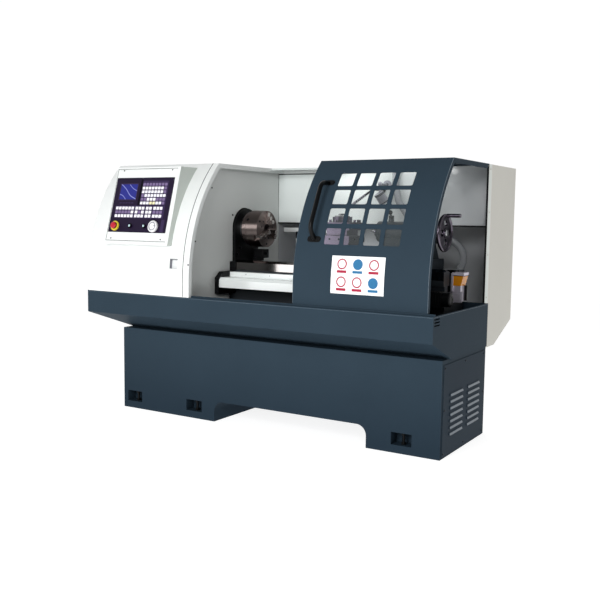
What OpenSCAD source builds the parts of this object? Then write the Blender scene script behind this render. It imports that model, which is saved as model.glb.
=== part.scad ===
// Flat-bed turning lathe with numerical control, in a sheet-metal enclosure.
// X runs along the spindle towards the tailstock, Y from the operator to the back, Z up.
// Depths are measured from the chip tray's front face, heights from the floor.

/* [Overall] */
// Length of the chip tray, which is the length of the machine
tray_l = 2400; // [2400:10:3000]
// Depth of the chip tray
tray_d = 832; // [820:1:850]
// Height of the stand, floor to the tray's underside
stand_h = 534; // [500:1:600]
// Height of the chip tray, underside to rim
tray_h = 253; // [240:1:290]
// Height of the roof above the tray rim
roof_rise = 813; // [800:1:860]
// Thickness of the folded steel sheet
sheet = 3; // [2:0.5:4]

/* [Stand] */
// Distance from the tray's left end to the stand
stand_inset_left = 136; // [100:1:170]
// Distance from the tray's right end to the stand
stand_inset_right = 18; // [12:1:40]
// Depth at which the stand's front face lies
stand_front = 187; // [170:1:230]
// Depth of the stand, front to back
stand_d = 681; // [640:1:681]
// Length of the left foot
foot_left_w = 751; // [700:1:800]
// Length of the right foot
foot_right_w = 439; // [400:1:480]
// Height of the arch between the feet
arch_h = 128; // [100:1:150]
// Corner radius of the arch
arch_r = 60; // [30:1:80]
// Plate thickness of the stand
stand_wall = 6; // [5:0.5:8]
// Width of a levelling pocket
pocket_w = 123; // [110:1:130]
// Height of a levelling pocket
pocket_h = 70; // [60:1:75]
// Height of a levelling pocket's sill
pocket_sill = 45; // [35:1:50]
// How far a levelling pocket goes in
pocket_depth = 75; // [60:1:90]
// Diameter of a levelling bolt
bolt_d = 16; // [12:1:20]
// Length of a louvre
louvre_w = 184; // [160:1:190]
// Number of louvres in a column
louvre_rows = 7; // [4:1:8]

/* [Chip tray] */
// Height of the tray's upright front band
tray_band = 140; // [120:1:150]
// Depth over which the tray's underside slopes in
tray_slope_run = 272; // [240:1:300]
// Plate thickness of the tray
tray_wall = 4; // [3:0.5:5]
// Width of the tray's folded front rim
rim_w = 60; // [50:1:70]
// Height of the door rail on the front rim
rail_h = 9.7; // [8:0.1:12]

/* [Enclosure curve] */
// Height of the straight stretch above the tray rim
hood_straight = 93; // [80:1:110]
// Radius of the curved front
hood_r = 1014; // [980:1:1100]
// Width of the folded edges of cover and door
edge_return = 28; // [20:1:32]

/* [Headstock cover] */
// Distance from the tray's left end to the cover
cover_inset = 10; // [8:1:14]
// Distance from the tray's left end to the cover's open rim
cover_rim = 835; // [830:1:840]
// Distance from the open rim to the inner wall
rim_strip = 44; // [40:1:46]
// Depth of the cover, front to back
cover_d = 1049; // [1045:1:1060]
// Side of the square finger pull
pull_side = 58; // [50:1:64]
// How far the finger pull goes in
pull_depth = 20; // [15:1:24]

/* [Control box] */
// Distance from the tray's left end to the control box
box_from_left = 170; // [150:1:190]
// Width of the control box
box_w = 517; // [505:1:530]
// Height of the control box along its face
box_h = 500; // [490:1:505]
// Lean of the control box's face
box_tilt = 15.6; // [15:0.1:16.5]
// Height of the box's lower edge above the tray rim
box_rise = 305; // [295:1:305]
// How far the box's lower edge stands in front of the tray
box_reach = 20; // [18:1:30]
// Thickness of the control panel
panel_t = 3; // [2:0.5:5]
// Diameter of the emergency stop's mushroom head
estop_d = 42; // [38:1:50]
// Travel of the emergency stop
estop_travel = 4; // [3:0.5:6]
// Diameter of a push button
button_d = 22; // [18:1:24]
// Travel of a push button
button_travel = 3; // [2:0.5:4]
// Diameter of the jog dial
dial_d = 72; // [60:1:76]

/* [Sliding door] */
// Length of the door
door_l = 806; // [780:1:820]
// Distance from the tray's right end to the door
door_from_right = 42; // [35:1:60]
// Depth of the door's front face at its foot
door_off = 26; // [22:1:30]
// Depth of the door's rear roof edge
door_back = 892; // [885:1:893]
// Columns and rows of window cells
window_cells = 4; // [2:1:4]
// Width of a window cell
cell_w = 94; // [80:1:98]
// Height of a window cell along the curve
cell_h = 92; // [80:1:96]
// Width of the bars between cells
cell_bar = 25; // [20:1:30]
// Corner radius of a cell
cell_r = 9; // [5:1:14]
// Thickness of the window pane
pane_t = 4; // [3:0.5:6]
// Diameter of the door handle's bar
handle_d = 25; // [20:1:28]
// Stand-off of the door handle
handle_out = 70; // [60:1:80]

/* [Rear guard and cabinet] */
// Depth of the rear guard's front edge
guard_front = 898; // [896:1:905]
// Depth of the rear guard's back
guard_back = 1428; // [1400:1:1480]
// Height of the guard's underside below the tray's underside
guard_drop = 30; // [20:1:40]
// Height of the chamfer at the guard's foot
guard_knee = 128; // [100:1:150]
// Depth at which the chamfer meets the underside
guard_knee_d = 1107; // [1090:1:1130]
// Distance from the tray's right end to the guard
guard_from_right = 48; // [45:1:60]
// Height of the bright splash panel
splash_h = 362; // [340:1:380]
// Depth of the cabinet door's folded pan
cabinet_door_t = 20; // [16:1:24]

/* [Bed and guideways] */
// Width of the bed over its ways
bed_w = 320; // [310:1:330]
// Height of the ways above the tray rim
bed_rise = 193; // [185:1:205]
// Distance from the tray's left end to the bed
bed_from_left = 190; // [180:1:200]
// Distance from the tray's right end to the bed
bed_from_right = 140; // [140:1:160]
// Width of one way
way_w = 85; // [75:1:95]
// Height of one way's rail
way_h = 80; // [78:1:90]
// Half width of the raised vee
vee_w = 18; // [14:1:20]
// Height of the raised vee
vee_h = 13; // [10:1:16]
// Running gap between a slide and its way
way_gap = 0.2; // [0.1:0.05:0.3]

/* [Spindle and chuck] */
// Depth of the spindle axis
spindle_depth = 640; // [635:1:645]
// Height of the spindle axis above the ways
centre_h = 215; // [205:1:225]
// Radius of the headstock's arched nose
nose_r = 131; // [125:1:135]
// Diameter of the spindle's through bore
spindle_bore = 52; // [40:1:56]
// Diameter of the spindle in its bearings
spindle_d = 90; // [80:1:100]
// Outer diameter of the spindle bearings
bearing_d = 150; // [140:1:160]
// Diameter of the chuck
chuck_d = 236; // [230:1:245]
// Length of the chuck body
chuck_l = 97; // [95:1:105]
// Thickness of the chuck's back plate
back_plate_t = 26; // [20:1:30]
// Width of a jaw
jaw_w = 26; // [22:1:28]
// Radial place of a jaw's gripping end
jaw_in = 32; // [30:1:36]
// Radial length of a jaw
jaw_l = 74; // [65:1:78]
// How far a jaw stands out of the chuck's face
jaw_out = 48; // [40:1:52]
// Diameter of a chuck pinion
pinion_d = 20; // [18:1:21]
// Radial running clearance of shafts and pins
run_gap = 0.05; // [0.02:0.01:0.08]

/* [Drive] */
// Diameter of the spindle pulley
spindle_pulley_d = 220; // [200:1:230]
// Diameter of the motor pulley
motor_pulley_d = 140; // [120:1:150]
// Width of the pulleys
pulley_w = 50; // [40:1:55]
// Thickness of the belt
belt_t = 8; // [6:0.5:10]
// Diameter of the main motor
motor_d = 210; // [190:1:214]
// Length of the main motor
motor_l = 330; // [300:1:350]
// Depth of the motor axis behind the spindle axis
motor_back = 285; // [280:1:290]
// Height of the motor axis below the spindle axis
motor_drop = 85; // [70:1:90]

/* [Carriage] */
// Distance from the carriage's centre to the tailstock barrel's left end
carriage_to_tail = 160; // [158:1:180]
// Length of the saddle along the bed
saddle_l = 300; // [280:1:310]
// Thickness of the saddle
saddle_t = 55; // [50:1:60]
// Depth of the saddle's front edge
saddle_front = 330; // [320:1:335]
// Overhang of the saddle behind the bed
saddle_over = 40; // [30:1:50]
// Width of the cross slide
slide_w = 180; // [170:1:190]
// Length of the cross slide
slide_l = 370; // [350:1:380]
// Thickness of the cross slide
slide_t = 58; // [52:1:62]
// Width of the dovetail at its foot
dovetail_w = 96; // [90:1:110]
// Height of the dovetail
dovetail_h = 22; // [18:1:26]
// Depth of the longitudinal screw's axis
z_screw_depth = 430; // [428:1:432]
// Height of the longitudinal screw's axis above the tray rim
z_screw_rise = 45; // [43:1:48]
// Diameter of the longitudinal screw
z_screw_d = 28; // [25:1:30]
// Diameter of the cross screw
x_screw_d = 20; // [18:1:22]
// Side of the servo motors
servo_w = 90; // [80:1:92]
// Length of the servo motors
servo_l = 205; // [180:1:210]

/* [Turret] */
// Depth of the turret's axis
turret_depth = 465; // [460:1:468]
// Side of the square turret head
turret_w = 196; // [180:1:200]
// Height of the turret's base
turret_base_h = 37; // [30:1:42]
// Height of the turret head
turret_h = 150; // [140:1:155]
// Height of the tool slots
tool_slot_h = 32; // [26:1:36]
// How far the tool slots go in
tool_slot_depth = 30; // [26:1:34]
// Diameter of the turret's post
post_d = 70; // [60:1:76]

/* [Tailstock] */
// Distance from the tray's right end to the tailstock barrel's left end
tail_from_right = 620; // [612:1:622]
// Length of the tailstock barrel
barrel_l = 370; // [350:1:380]
// Diameter of the tailstock barrel
barrel_d = 124; // [116:1:130]
// Length of the tailstock's foot
tail_foot_l = 330; // [300:1:332]
// Diameter of the quill
quill_d = 70; // [60:1:76]
// Diameter of the handwheel over its rim
wheel_d = 220; // [200:1:230]
// Thickness of the handwheel's rim
wheel_rim = 20; // [16:1:22]
// Length of the handwheel's peg
peg_l = 84; // [70:1:90]

/* [Screw guard and lubricator] */
// Thickness of the screw guard
guard_t = 2.5; // [2:0.5:3]
// Height of the screw guard's fold above the screw's axis
guard_rise = 59; // [57:1:61]
// Depth of the screw guard's front face
guard_face = 316; // [312:1:320]
// Width of the lubricator
pump_w = 80; // [70:1:90]
// Length of the lubricator along the bed
pump_l = 70; // [60:1:75]
// Height of the lubricator
pump_h = 175; // [160:1:185]

/* [Hoses and lamp] */
// Diameter of the cable conduit
conduit_d = 46; // [40:1:48]
// Depth of the conduit's plane
conduit_depth = 1023; // [1020:1:1024]
// Diameter of the coolant pipe
pipe_d = 14; // [12:1:18]
// Diameter of the lamp's shade
lamp_d = 64; // [56:1:70]

/* [Hidden] */
$fn = 64;
// Facets of the long curves
curve_fn = 360;
// Small overlap that lets a cut pass through a face
cut = 1;
// Gap kept between round faces that do not run on each other
clear = 0.3;

// Heights
tray_top = stand_h + tray_h;
band_z = tray_top - tray_band;
tray_floor = stand_h + tray_wall;
bend_z = tray_top + hood_straight;
roof_z = tray_top + roof_rise;
bed_top = tray_top + bed_rise;
spindle_z = bed_top + centre_h;
box_low_z = tray_top + box_rise;
guard_low = stand_h - guard_drop;
splash_low = roof_z - sheet - splash_h;
z_screw_z = tray_top + z_screw_rise;
saddle_top = bed_top + way_gap + saddle_t;
slide_top = saddle_top + way_gap + slide_t;
head_z = slide_top + turret_base_h + clear;

// Depths, with the origin midway between the knobs' reach and the back
knob_reach = 4;
front_y = -(guard_back - box_reach - knob_reach) / 2;
stand_back = stand_front + stand_d;
bed_front = spindle_depth - bed_w / 2;
bed_back = spindle_depth + bed_w / 2;
saddle_back = bed_back + saddle_over;
spindle_y = front_y + spindle_depth;

// Places along the machine
x_left = -tray_l / 2;
x_right = tray_l / 2;
stand_x0 = x_left + stand_inset_left;
stand_x1 = x_right - stand_inset_right;
arch_x0 = stand_x0 + foot_left_w;
arch_x1 = stand_x1 - foot_right_w;
cover_x0 = x_left + cover_inset;
cover_x1 = x_left + cover_rim;
wall_x = cover_x1 - rim_strip - sheet;
box_x0 = x_left + box_from_left;
bed_x0 = x_left + bed_from_left;
bed_x1 = x_right - bed_from_right;
door_x1 = x_right - door_from_right;
door_x0 = door_x1 - door_l;
guard_x1 = x_right - guard_from_right;
guard_x0 = wall_x + sheet;
nose_x = cover_x1 - 25;
flange_t = 34;
chuck_x0 = nose_x + flange_t;
chuck_x1 = chuck_x0 + back_plate_t;
chuck_face = chuck_x1 + chuck_l;
tail_x0 = x_right - tail_from_right;
carriage_x = tail_x0 - carriage_to_tail;
tail_x1 = tail_x0 + barrel_l;
wheel_x = tail_x1 + 44;

// Colours seen on the machine
slate = "#3d4b58";
dark_slate = "#2c353f";
white_paint = "#f3f5f4";
cream = "#cfcdc4";
wall_grey = "#a3a5a3";
cast_black = "#1b1d21";
bright_steel = "#b9bcbf";
tool_steel = "#5a4f4e";

// Extrudes a depth and height outline along X
module along_x(x0, l) {
    translate([x0, front_y, 0]) rotate([90, 0, 90]) linear_extrude(l) children();
}

// Extrudes an X and height outline along Y, from one depth over a length
module along_y(depth, l) {
    translate([0, front_y + depth + l, 0]) rotate([90, 0, 0]) linear_extrude(l) children();
}

// A cylinder along X about the spindle axis or a parallel one
module x_rod(x0, l, d, depth = spindle_depth, z = spindle_z) {
    translate([x0, front_y + depth, z]) rotate([0, 90, 0]) cylinder(d = d, h = l);
}

// A block given by its start along X, its depth and its height
module block(x0, depth, z0, l, d, h) {
    translate([x0, front_y + depth, z0]) cube([l, d, h]);
}

// A rectangle with round corners about its own centre
module rounded_rect(w, h, r) {
    square([w - 2 * r, h], center = true);
    square([w, h - 2 * r], center = true);
    for (sx = [-1, 1], sy = [-1, 1])
        translate([sx * (w / 2 - r), sy * (h / 2 - r)]) circle(r, $fn = 32);
}

// Outline of the curved front and flat roof, set in by a wall
module hood_outline(off, low, back, inset = 0) {
    translate([off + inset, low]) square([back - off - inset, bend_z - low]);
    intersection() {
        translate([off + hood_r, bend_z]) circle(hood_r - inset, $fn = curve_fn);
        translate([off, bend_z]) square([back - off, roof_rise - hood_straight - inset]);
    }
}

// Places children on the curved front, at an arc length above the bend, facing out
module on_curve(off, x, arc) {
    lean = arc / hood_r * 180 / PI;
    translate([x, front_y + off + hood_r * (1 - cos(lean)), bend_z + hood_r * sin(lean)])
        rotate([90 - lean, 0, 0]) children();
}

// Tube swept along points of one plane, given the plane's normal
module planar_tube(path, d, normal, sides = 12) {
    last = len(path) - 1;
    rings = [for (i = [0:last])
        let (t = path[min(i + 1, last)] - path[max(i - 1, 0)])
        let (side = cross(normal, t / norm(t)))
        for (k = [0:sides - 1])
            path[i] + d / 2 * (cos(360 * k / sides) * normal + sin(360 * k / sides) * side)];
    walls = [for (i = [0:last - 1], k = [0:sides - 1])
        let (k2 = (k + 1) % sides)
        [i * sides + k, i * sides + k2, (i + 1) * sides + k2, (i + 1) * sides + k]];
    start = [for (k = [sides - 1:-1:0]) k];
    end = [for (k = [0:sides - 1]) last * sides + k];
    polyhedron(rings, concat([start, end], walls), convexity = 6);
}

// Points of a route whose corners are rounded over a reach
function rounded_path(p, reach, steps = 6) = concat(
    [p[0]],
    [for (i = [1:len(p) - 2])
        let (a = p[i] + reach * (p[i - 1] - p[i]) / norm(p[i - 1] - p[i]))
        let (b = p[i] + reach * (p[i + 1] - p[i]) / norm(p[i + 1] - p[i]))
        for (s = [0:steps])
            let (t = s / steps)
            (1 - t) * (1 - t) * a + 2 * t * (1 - t) * p[i] + t * t * b],
    [p[len(p) - 1]]);

// Hinge sizes shared by the end door and the cabinet door
hinge_pin_r = 4;
hinge_r = 7;
hinge_knuckle = 36;
hinge_lug = 12;
hinge_gap = 0.4;

// Pin and its two lugs, about the hinge axis, with the leaf towards +X
module hinge_fixed(reach, leaf_t) {
    half = hinge_knuckle / 2 + hinge_gap;
    translate([0, 0, -half - hinge_lug]) cylinder(r = hinge_pin_r, h = 2 * (half + hinge_lug));
    for (z = [-half - hinge_lug, half]) {
        translate([0, 0, z]) cylinder(r = hinge_r, h = hinge_lug);
        translate([0, hinge_r - leaf_t, z]) cube([reach, leaf_t, hinge_lug]);
    }
}

// Knuckle with the leaf towards +X, set over to one side of the axis
module hinge_knuckle_body(reach, leaf_t, side) {
    difference() {
        union() {
            translate([0, 0, -hinge_knuckle / 2]) cylinder(r = hinge_r, h = hinge_knuckle);
            translate([0, side, -hinge_knuckle / 2]) cube([reach, leaf_t, hinge_knuckle]);
        }
        translate([0, 0, -hinge_knuckle])
            cylinder(r = hinge_pin_r + run_gap, h = 2 * hinge_knuckle);
    }
}

// Stand: welded plate box on two feet, with levelling pockets
stand_l = stand_x1 - stand_x0;
pocket_lip = 18;
pocket_from_left = 95;
pocket_from_arch = 160;
pocket_on_right = 214;
pocket_xs = [
    stand_x0 + pocket_from_left,
    arch_x0 - pocket_from_arch,
    arch_x1 + pocket_on_right
];
end_open_w = 560;
end_open_h = 400;
end_open_z = 60;
end_mid = stand_front + stand_d / 2;

module arch_outline(grow) {
    mid = (arch_x0 + arch_x1) / 2;
    w = arch_x1 - arch_x0 + 2 * grow;
    h = 2 * (arch_h + grow);
    translate([mid, 0]) rounded_rect(w, h, arch_r + grow);
}

module at_pockets() {
    for (x = pocket_xs) {
        translate([x, front_y + stand_front, 0]) children();
        translate([x, front_y + stand_back, 0]) mirror([0, 1, 0]) children();
    }
}

module stand() {
    block_w = pocket_w + 2 * pocket_lip;
    block_h = pocket_sill + pocket_h + pocket_lip;
    color(slate) difference() {
        union() {
            difference() {
                along_y(stand_front, stand_d) difference() {
                    translate([stand_x0, 0]) square([stand_l, stand_h]);
                    arch_outline(0);
                }
                along_y(stand_front + stand_wall, stand_d - 2 * stand_wall) difference() {
                    translate([stand_x0 + stand_wall, stand_wall])
                        square([stand_l - 2 * stand_wall, stand_h - 2 * stand_wall]);
                    arch_outline(stand_wall);
                }
            }
            at_pockets() translate([-block_w / 2, 0, 0])
                cube([block_w, pocket_depth + pocket_lip, block_h]);
        }
        at_pockets() translate([-pocket_w / 2, -cut, pocket_sill])
            cube([pocket_w, pocket_depth + cut, pocket_h]);
        at_pockets() translate([0, pocket_depth / 2, -cut])
            cylinder(d = bolt_d + 1, h = pocket_sill + 2 * cut);
        block(stand_x1 - 2 * stand_wall, end_mid - end_open_w / 2, end_open_z,
            3 * stand_wall, end_open_w, end_open_h);
    }
}

// Louvred cover on the stand's right end
cover_plate_w = 640;
cover_plate_h = 500;
cover_plate_z = 8;
louvre_h = 22;
louvre_out = 9;
louvre_pitch = 36;
louvre_low_z = 112;
louvre_mids = [-133, 133];

module louvre_hood() {
    skin = 1.5;
    rotate([90, 0, 0]) translate([0, 0, -louvre_w / 2]) linear_extrude(louvre_w) polygon([
        [-sheet, louvre_h], [0, louvre_h], [louvre_out, 0], [louvre_out - skin, 0],
        [-sheet, louvre_h - 2 * skin]
    ]);
    for (side = [-1, 1])
        translate([0, side * (louvre_w / 2 - skin / 2) + skin / 2, 0]) rotate([90, 0, 0])
            linear_extrude(skin) polygon([[-sheet, 0], [louvre_out, 0], [-sheet, louvre_h]]);
}

module stand_end_cover() {
    color(dark_slate) difference() {
        union() {
            difference() {
                block(stand_x1, end_mid - cover_plate_w / 2, cover_plate_z,
                    sheet, cover_plate_w, cover_plate_h);
                for (m = louvre_mids, i = [0:louvre_rows - 1])
                    block(stand_x1 - cut, end_mid + m - louvre_w / 2,
                        louvre_low_z + i * louvre_pitch, sheet + 2 * cut, louvre_w, louvre_h);
            }
            for (m = louvre_mids, i = [0:louvre_rows - 1])
                translate([stand_x1 + sheet, front_y + end_mid + m,
                    louvre_low_z + i * louvre_pitch]) louvre_hood();
        }
    }
}

module levelling_bolts() {
    nut_d = 1.8 * bolt_d;
    nut_h = 0.8 * bolt_d;
    stud_top = pocket_sill + 3.25 * bolt_d;
    color(cast_black) at_pockets() translate([0, pocket_depth / 2, 0]) {
        translate([0, 0, cut]) cylinder(d = bolt_d, h = stud_top - cut);
        translate([0, 0, pocket_sill]) cylinder(d = nut_d, h = nut_h, $fn = 6);
        translate([0, 0, stud_top]) cylinder(d = nut_d, h = nut_h, $fn = 6);
    }
}

// Chip tray: hipped underside, open top, folded front rim and door rail
function slope_rise(run) = band_z - stand_h;
function slope_angle(run) = atan(slope_rise(run) / run);
function inner_run(run) = run
    + (tray_wall / cos(slope_angle(run)) - tray_wall) / tan(slope_angle(run));
function inner_band(run) = band_z + tray_wall / cos(slope_angle(run))
    - tray_wall * tan(slope_angle(run));
slot_l = 73;
slot_h = 8;
slot_pitch = 16;
slot_depth = 15;
slot_top = 13;

// Half outline of the tray: sloping side at the start, upright side at the end
module tray_outline(run, l, top) {
    polygon([[0, top], [0, band_z], [run, stand_h], [l, stand_h], [l, top]]);
}

module tray_inner_outline(run, l, top) {
    w = tray_wall;
    polygon([[w, top], [w, inner_band(run)], [inner_run(run), tray_floor],
        [l - w, tray_floor], [l - w, top]]);
}

module chip_tray() {
    open_top = tray_top + cut;
    color(slate) {
        difference() {
            intersection() {
                along_x(x_left, tray_l) tray_outline(tray_slope_run, tray_d, tray_top);
                along_y(0, tray_d) translate([x_left, 0])
                    tray_outline(stand_inset_left, tray_l, tray_top);
            }
            intersection() {
                along_x(x_left, tray_l) tray_inner_outline(tray_slope_run, tray_d, open_top);
                along_y(0, tray_d) translate([x_left, 0])
                    tray_inner_outline(stand_inset_left, tray_l, open_top);
            }
            for (i = [0:2])
                block(x_right - 2 * tray_wall, slot_depth,
                    tray_top - slot_top - slot_h - i * slot_pitch, 3 * tray_wall, slot_l, slot_h);
        }
        block(x_left + cut, tray_wall / 2, tray_top - tray_wall,
            tray_l - 2 * cut, rim_w - tray_wall / 2, tray_wall);
        block(cover_x1 + cut, door_off - sheet, tray_top - cut,
            x_right - cover_x1 - 2 * cut, 3 * sheet, rail_h + cut);
    }
}

// Headstock cover: curved shell with a folded rim, a finger pull and an end opening
end_open_d0 = 420;
end_open_d1 = 990;
end_open_low = 950;
end_open_top = 1400;
end_hinge_depth = end_open_d1 + 27;
end_hinge_reach = 14;
end_hinge_x = cover_x0 - hinge_r - clear;
end_hinge_zs = [end_open_low + 70, end_open_top - 70];
pull_x = cover_x1 - 118;
pull_arc = 104;

module cover_band(inset_a, inset_b, x0, l) {
    along_x(x0, l) difference() {
        hood_outline(0, tray_top, cover_d, inset_a);
        hood_outline(0, tray_top - cut, cover_d + cut, inset_b);
    }
}

module headstock_cover() {
    cover_l = cover_x1 - cover_x0;
    cup = pull_side + 2 * sheet;
    color(white_paint) {
        difference() {
            union() {
                cover_band(0, sheet, cover_x0, cover_l);
                cover_band(0, edge_return, cover_x1 - sheet, sheet);
                along_x(cover_x0, sheet) hood_outline(0, tray_top, cover_d);
                block(cover_x0, cover_d - sheet, tray_top, wall_x - cover_x0 + sheet, sheet,
                    roof_rise);
                block(cover_x0, tray_d, tray_top, wall_x - cover_x0, cover_d - tray_d, sheet);
                intersection() {
                    along_x(cover_x0, cover_l) hood_outline(0, tray_top, cover_d);
                    on_curve(0, pull_x, pull_arc) translate([-cup / 2, -cup / 2, -pull_depth - sheet])
                        cube([cup, cup, 2 * pull_depth]);
                }
            }
            on_curve(0, pull_x, pull_arc) translate([-pull_side / 2, -pull_side / 2, -pull_depth])
                cube([pull_side, pull_side, 3 * pull_depth]);
            block(cover_x0 - cut, end_open_d0, end_open_low, sheet + 2 * cut,
                end_open_d1 - end_open_d0, end_open_top - end_open_low);
        }
        for (z = end_hinge_zs)
            translate([end_hinge_x, front_y + end_hinge_depth, z]) rotate([0, 0, 90])
                hinge_fixed(hinge_r + 14, 2 * hinge_r + clear + cut);
    }
}

// Inner wall between the headstock and the work area
wall_gap = 5;

module nose_outline(grow) {
    translate([spindle_depth, spindle_z]) circle(nose_r + grow, $fn = curve_fn);
    translate([spindle_depth - nose_r - grow, bed_top - cut])
        square([2 * (nose_r + grow), spindle_z - bed_top + cut]);
}

module bulkhead() {
    color(wall_grey) along_x(wall_x, sheet) difference() {
        hood_outline(0, tray_top, cover_d - sheet, sheet);
        nose_outline(wall_gap);
        translate([bed_front - wall_gap, tray_top - cut])
            square([bed_w + 2 * wall_gap, bed_rise + wall_gap + cut]);
    }
}

// Door on the left end, over the belt drive
module end_door() {
    lap = 15;
    plate_t = 6;
    w = end_open_d1 - end_open_d0 + 2 * lap;
    h = end_open_top - end_open_low + 2 * lap;
    color(white_paint) {
        difference() {
            block(cover_x0 - clear - plate_t, end_open_d0 - lap, end_open_low - lap, plate_t, w, h);
            block(cover_x0 - clear - plate_t / 2, end_open_d0, end_open_low, plate_t,
                w - 2 * lap, h - 2 * lap);
        }
        for (z = end_hinge_zs)
            translate([end_hinge_x, front_y + end_hinge_depth, z]) rotate([0, 0, -90])
                hinge_knuckle_body(end_hinge_reach, plate_t, hinge_r - plate_t);
        translate([cover_x0 - clear - plate_t, front_y + end_open_d0 + 30,
            (end_open_low + end_open_top) / 2]) rotate([0, -90, 0]) cylinder(d = 30, h = 5);
    }
}

// Control box, a wedge standing on the cover's curved front
box_low_d = -box_reach;
box_top_d = box_low_d + box_h * sin(box_tilt);
box_top_z = box_low_z + box_h * cos(box_tilt);
box_deep = 260;

// Places children on the face of the control box, from its lower left corner
module on_panel(x, y) {
    translate([box_x0, front_y + box_low_d, box_low_z]) rotate([90 - box_tilt, 0, 0])
        translate([x, y, 0]) children();
}

module box_outline() {
    difference() {
        polygon([[box_low_d, box_low_z], [box_top_d, box_top_z],
            [box_top_d + box_deep, box_top_z], [box_low_d + box_deep, box_low_z]]);
        hood_outline(0, tray_top, cover_d);
    }
}

module box_inner_outline() {
    skin = sheet / cos(box_tilt);
    lean = sheet * tan(box_tilt);
    polygon([[box_low_d + skin + lean, box_low_z + sheet],
        [box_top_d + skin - lean, box_top_z - sheet],
        [box_top_d + box_deep, box_top_z - sheet],
        [box_low_d + box_deep, box_low_z + sheet]]);
}

// Places of the controls on the face
estop_at = [70, 117];
start_at = [196, 118];
hold_at = [311, 118];
dial_at = [385, 117];
estop_stem = 22;
button_stem = 16;
dial_shaft = 12;
stem_in = 26;
slip = 0.1;

module control_holes() {
    on_panel(estop_at[0], estop_at[1]) translate([0, 0, -stem_in])
        cylinder(d = estop_stem + 2 * slip, h = 3 * stem_in);
    for (p = [start_at, hold_at]) on_panel(p[0], p[1]) translate([0, 0, -stem_in])
        cylinder(d = button_stem + 2 * slip, h = 3 * stem_in);
    on_panel(dial_at[0], dial_at[1]) translate([0, 0, -stem_in])
        cylinder(d = dial_shaft + 2 * run_gap, h = 3 * stem_in);
}

module control_box() {
    seam = 1.5;
    seam_in = [6, 17];
    color(white_paint) difference() {
        union() {
            along_x(box_x0, box_w) difference() {
                box_outline();
                box_inner_outline();
            }
            for (x = [box_x0, box_x0 + box_w - sheet]) along_x(x, sheet) box_outline();
        }
        control_holes();
        on_panel(seam_in[0], seam_in[1]) difference() {
            translate([0, 0, -seam]) cube([box_w - 2 * seam_in[0], box_h - 2 * seam_in[1], 2 * seam]);
            translate([seam, seam, -2 * seam])
                cube([box_w - 2 * seam_in[0] - 2 * seam, box_h - 2 * seam_in[1] - 2 * seam, 4 * seam]);
        }
    }
}

// Control panel with the screen's bezel, the keys and the collars of the controls
panel_at = [15, 78];
panel_size = [470, 353];
bezel_at = [22, 251];
bezel_size = [203, 168];
bezel_t = 4;
screen_at = [63, 289];
screen_size = [137, 98];
screen_in = 2;
key_t = 1.5;
collar_d = 60;
collar_h = 8;

module key_grid(at, count, pitch, size) {
    for (i = [0:count[0] - 1], j = [0:count[1] - 1])
        on_panel(at[0] + i * pitch[0], at[1] + j * pitch[1]) translate([0, 0, panel_t])
            cube([size[0], size[1], key_t]);
}

module control_panel() {
    color("#32233f") difference() {
        union() {
            on_panel(panel_at[0], panel_at[1]) cube([panel_size[0], panel_size[1], panel_t]);
            on_panel(bezel_at[0], bezel_at[1]) translate([0, 0, panel_t])
                cube([bezel_size[0], bezel_size[1], bezel_t]);
            on_panel(estop_at[0], estop_at[1]) cylinder(d = collar_d, h = panel_t + collar_h);
            for (p = [start_at, hold_at])
                on_panel(p[0], p[1]) cylinder(d = button_d + 8, h = panel_t + bezel_t);
            key_grid([244, 258], [8, 6], [25, 24], [19, 17]);
            key_grid([50, 174], [6, 3], [26, 25], [20, 18]);
            key_grid([214, 174], [3, 3], [26, 25], [20, 18]);
            key_grid([300, 174], [2, 3], [26, 25], [20, 18]);
            key_grid([360, 174], [3, 3], [26, 25], [20, 18]);
        }
        control_holes();
        on_panel(screen_at[0], screen_at[1]) translate([0, 0, panel_t + bezel_t - screen_in])
            cube([screen_size[0], screen_size[1], 2 * screen_in]);
    }
}

module display_screen() {
    color("#23287a") on_panel(screen_at[0], screen_at[1])
        translate([0, 0, panel_t + bezel_t - screen_in]) cube([screen_size[0], screen_size[1], 1.5]);
}

module estop_button() {
    under = panel_t + collar_h + estop_travel + 2;
    r = estop_d / 2;
    color("#cd3c4b") on_panel(estop_at[0], estop_at[1]) rotate_extrude() polygon([
        [0, -stem_in + 4], [estop_stem / 2, -stem_in + 4], [estop_stem / 2, under], [r - 3, under],
        [r, under + 4], [r, under + 9], [r - 5, under + 14], [0, under + 15]
    ]);
}

module push_button(at, tint) {
    top = panel_t + bezel_t + button_travel + 3;
    color(tint) on_panel(at[0], at[1]) {
        translate([0, 0, -stem_in + 4]) cylinder(d = button_stem, h = top + stem_in - 4);
        translate([0, 0, panel_t + bezel_t + button_travel + 0.5])
            cylinder(d = button_d, h = 2.5 + cut);
    }
}

module start_button() push_button(start_at, "#dfe9e2");
module hold_button() push_button(hold_at, "#e8e2e6");

module jog_dial() {
    dial_h = 14;
    gap = 1;
    color("#eef0f0") on_panel(dial_at[0], dial_at[1]) {
        translate([0, 0, -stem_in + 4]) cylinder(d = dial_shaft, h = stem_in + panel_t + gap);
        translate([0, 0, panel_t + gap]) rotate_extrude() polygon([
            [0, 0], [dial_d / 2, 0], [dial_d / 2, dial_h - 3], [dial_d / 2 - 3, dial_h],
            [dial_d / 2 - 12, dial_h], [dial_d / 2 - 14, dial_h - 3], [0, dial_h - 3]
        ]);
        translate([dial_d / 2 - 22, 0, panel_t + gap + dial_h - 4]) cylinder(d = 12, h = 12);
    }
}

// Rear guard with its bright splash panel and the ledge that carries the door's roof
ledge_drop = 14;
ledge_w = 30;
ledge_x0 = cover_x1 + clear;
ledge_l = guard_x1 - ledge_x0;

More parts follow.
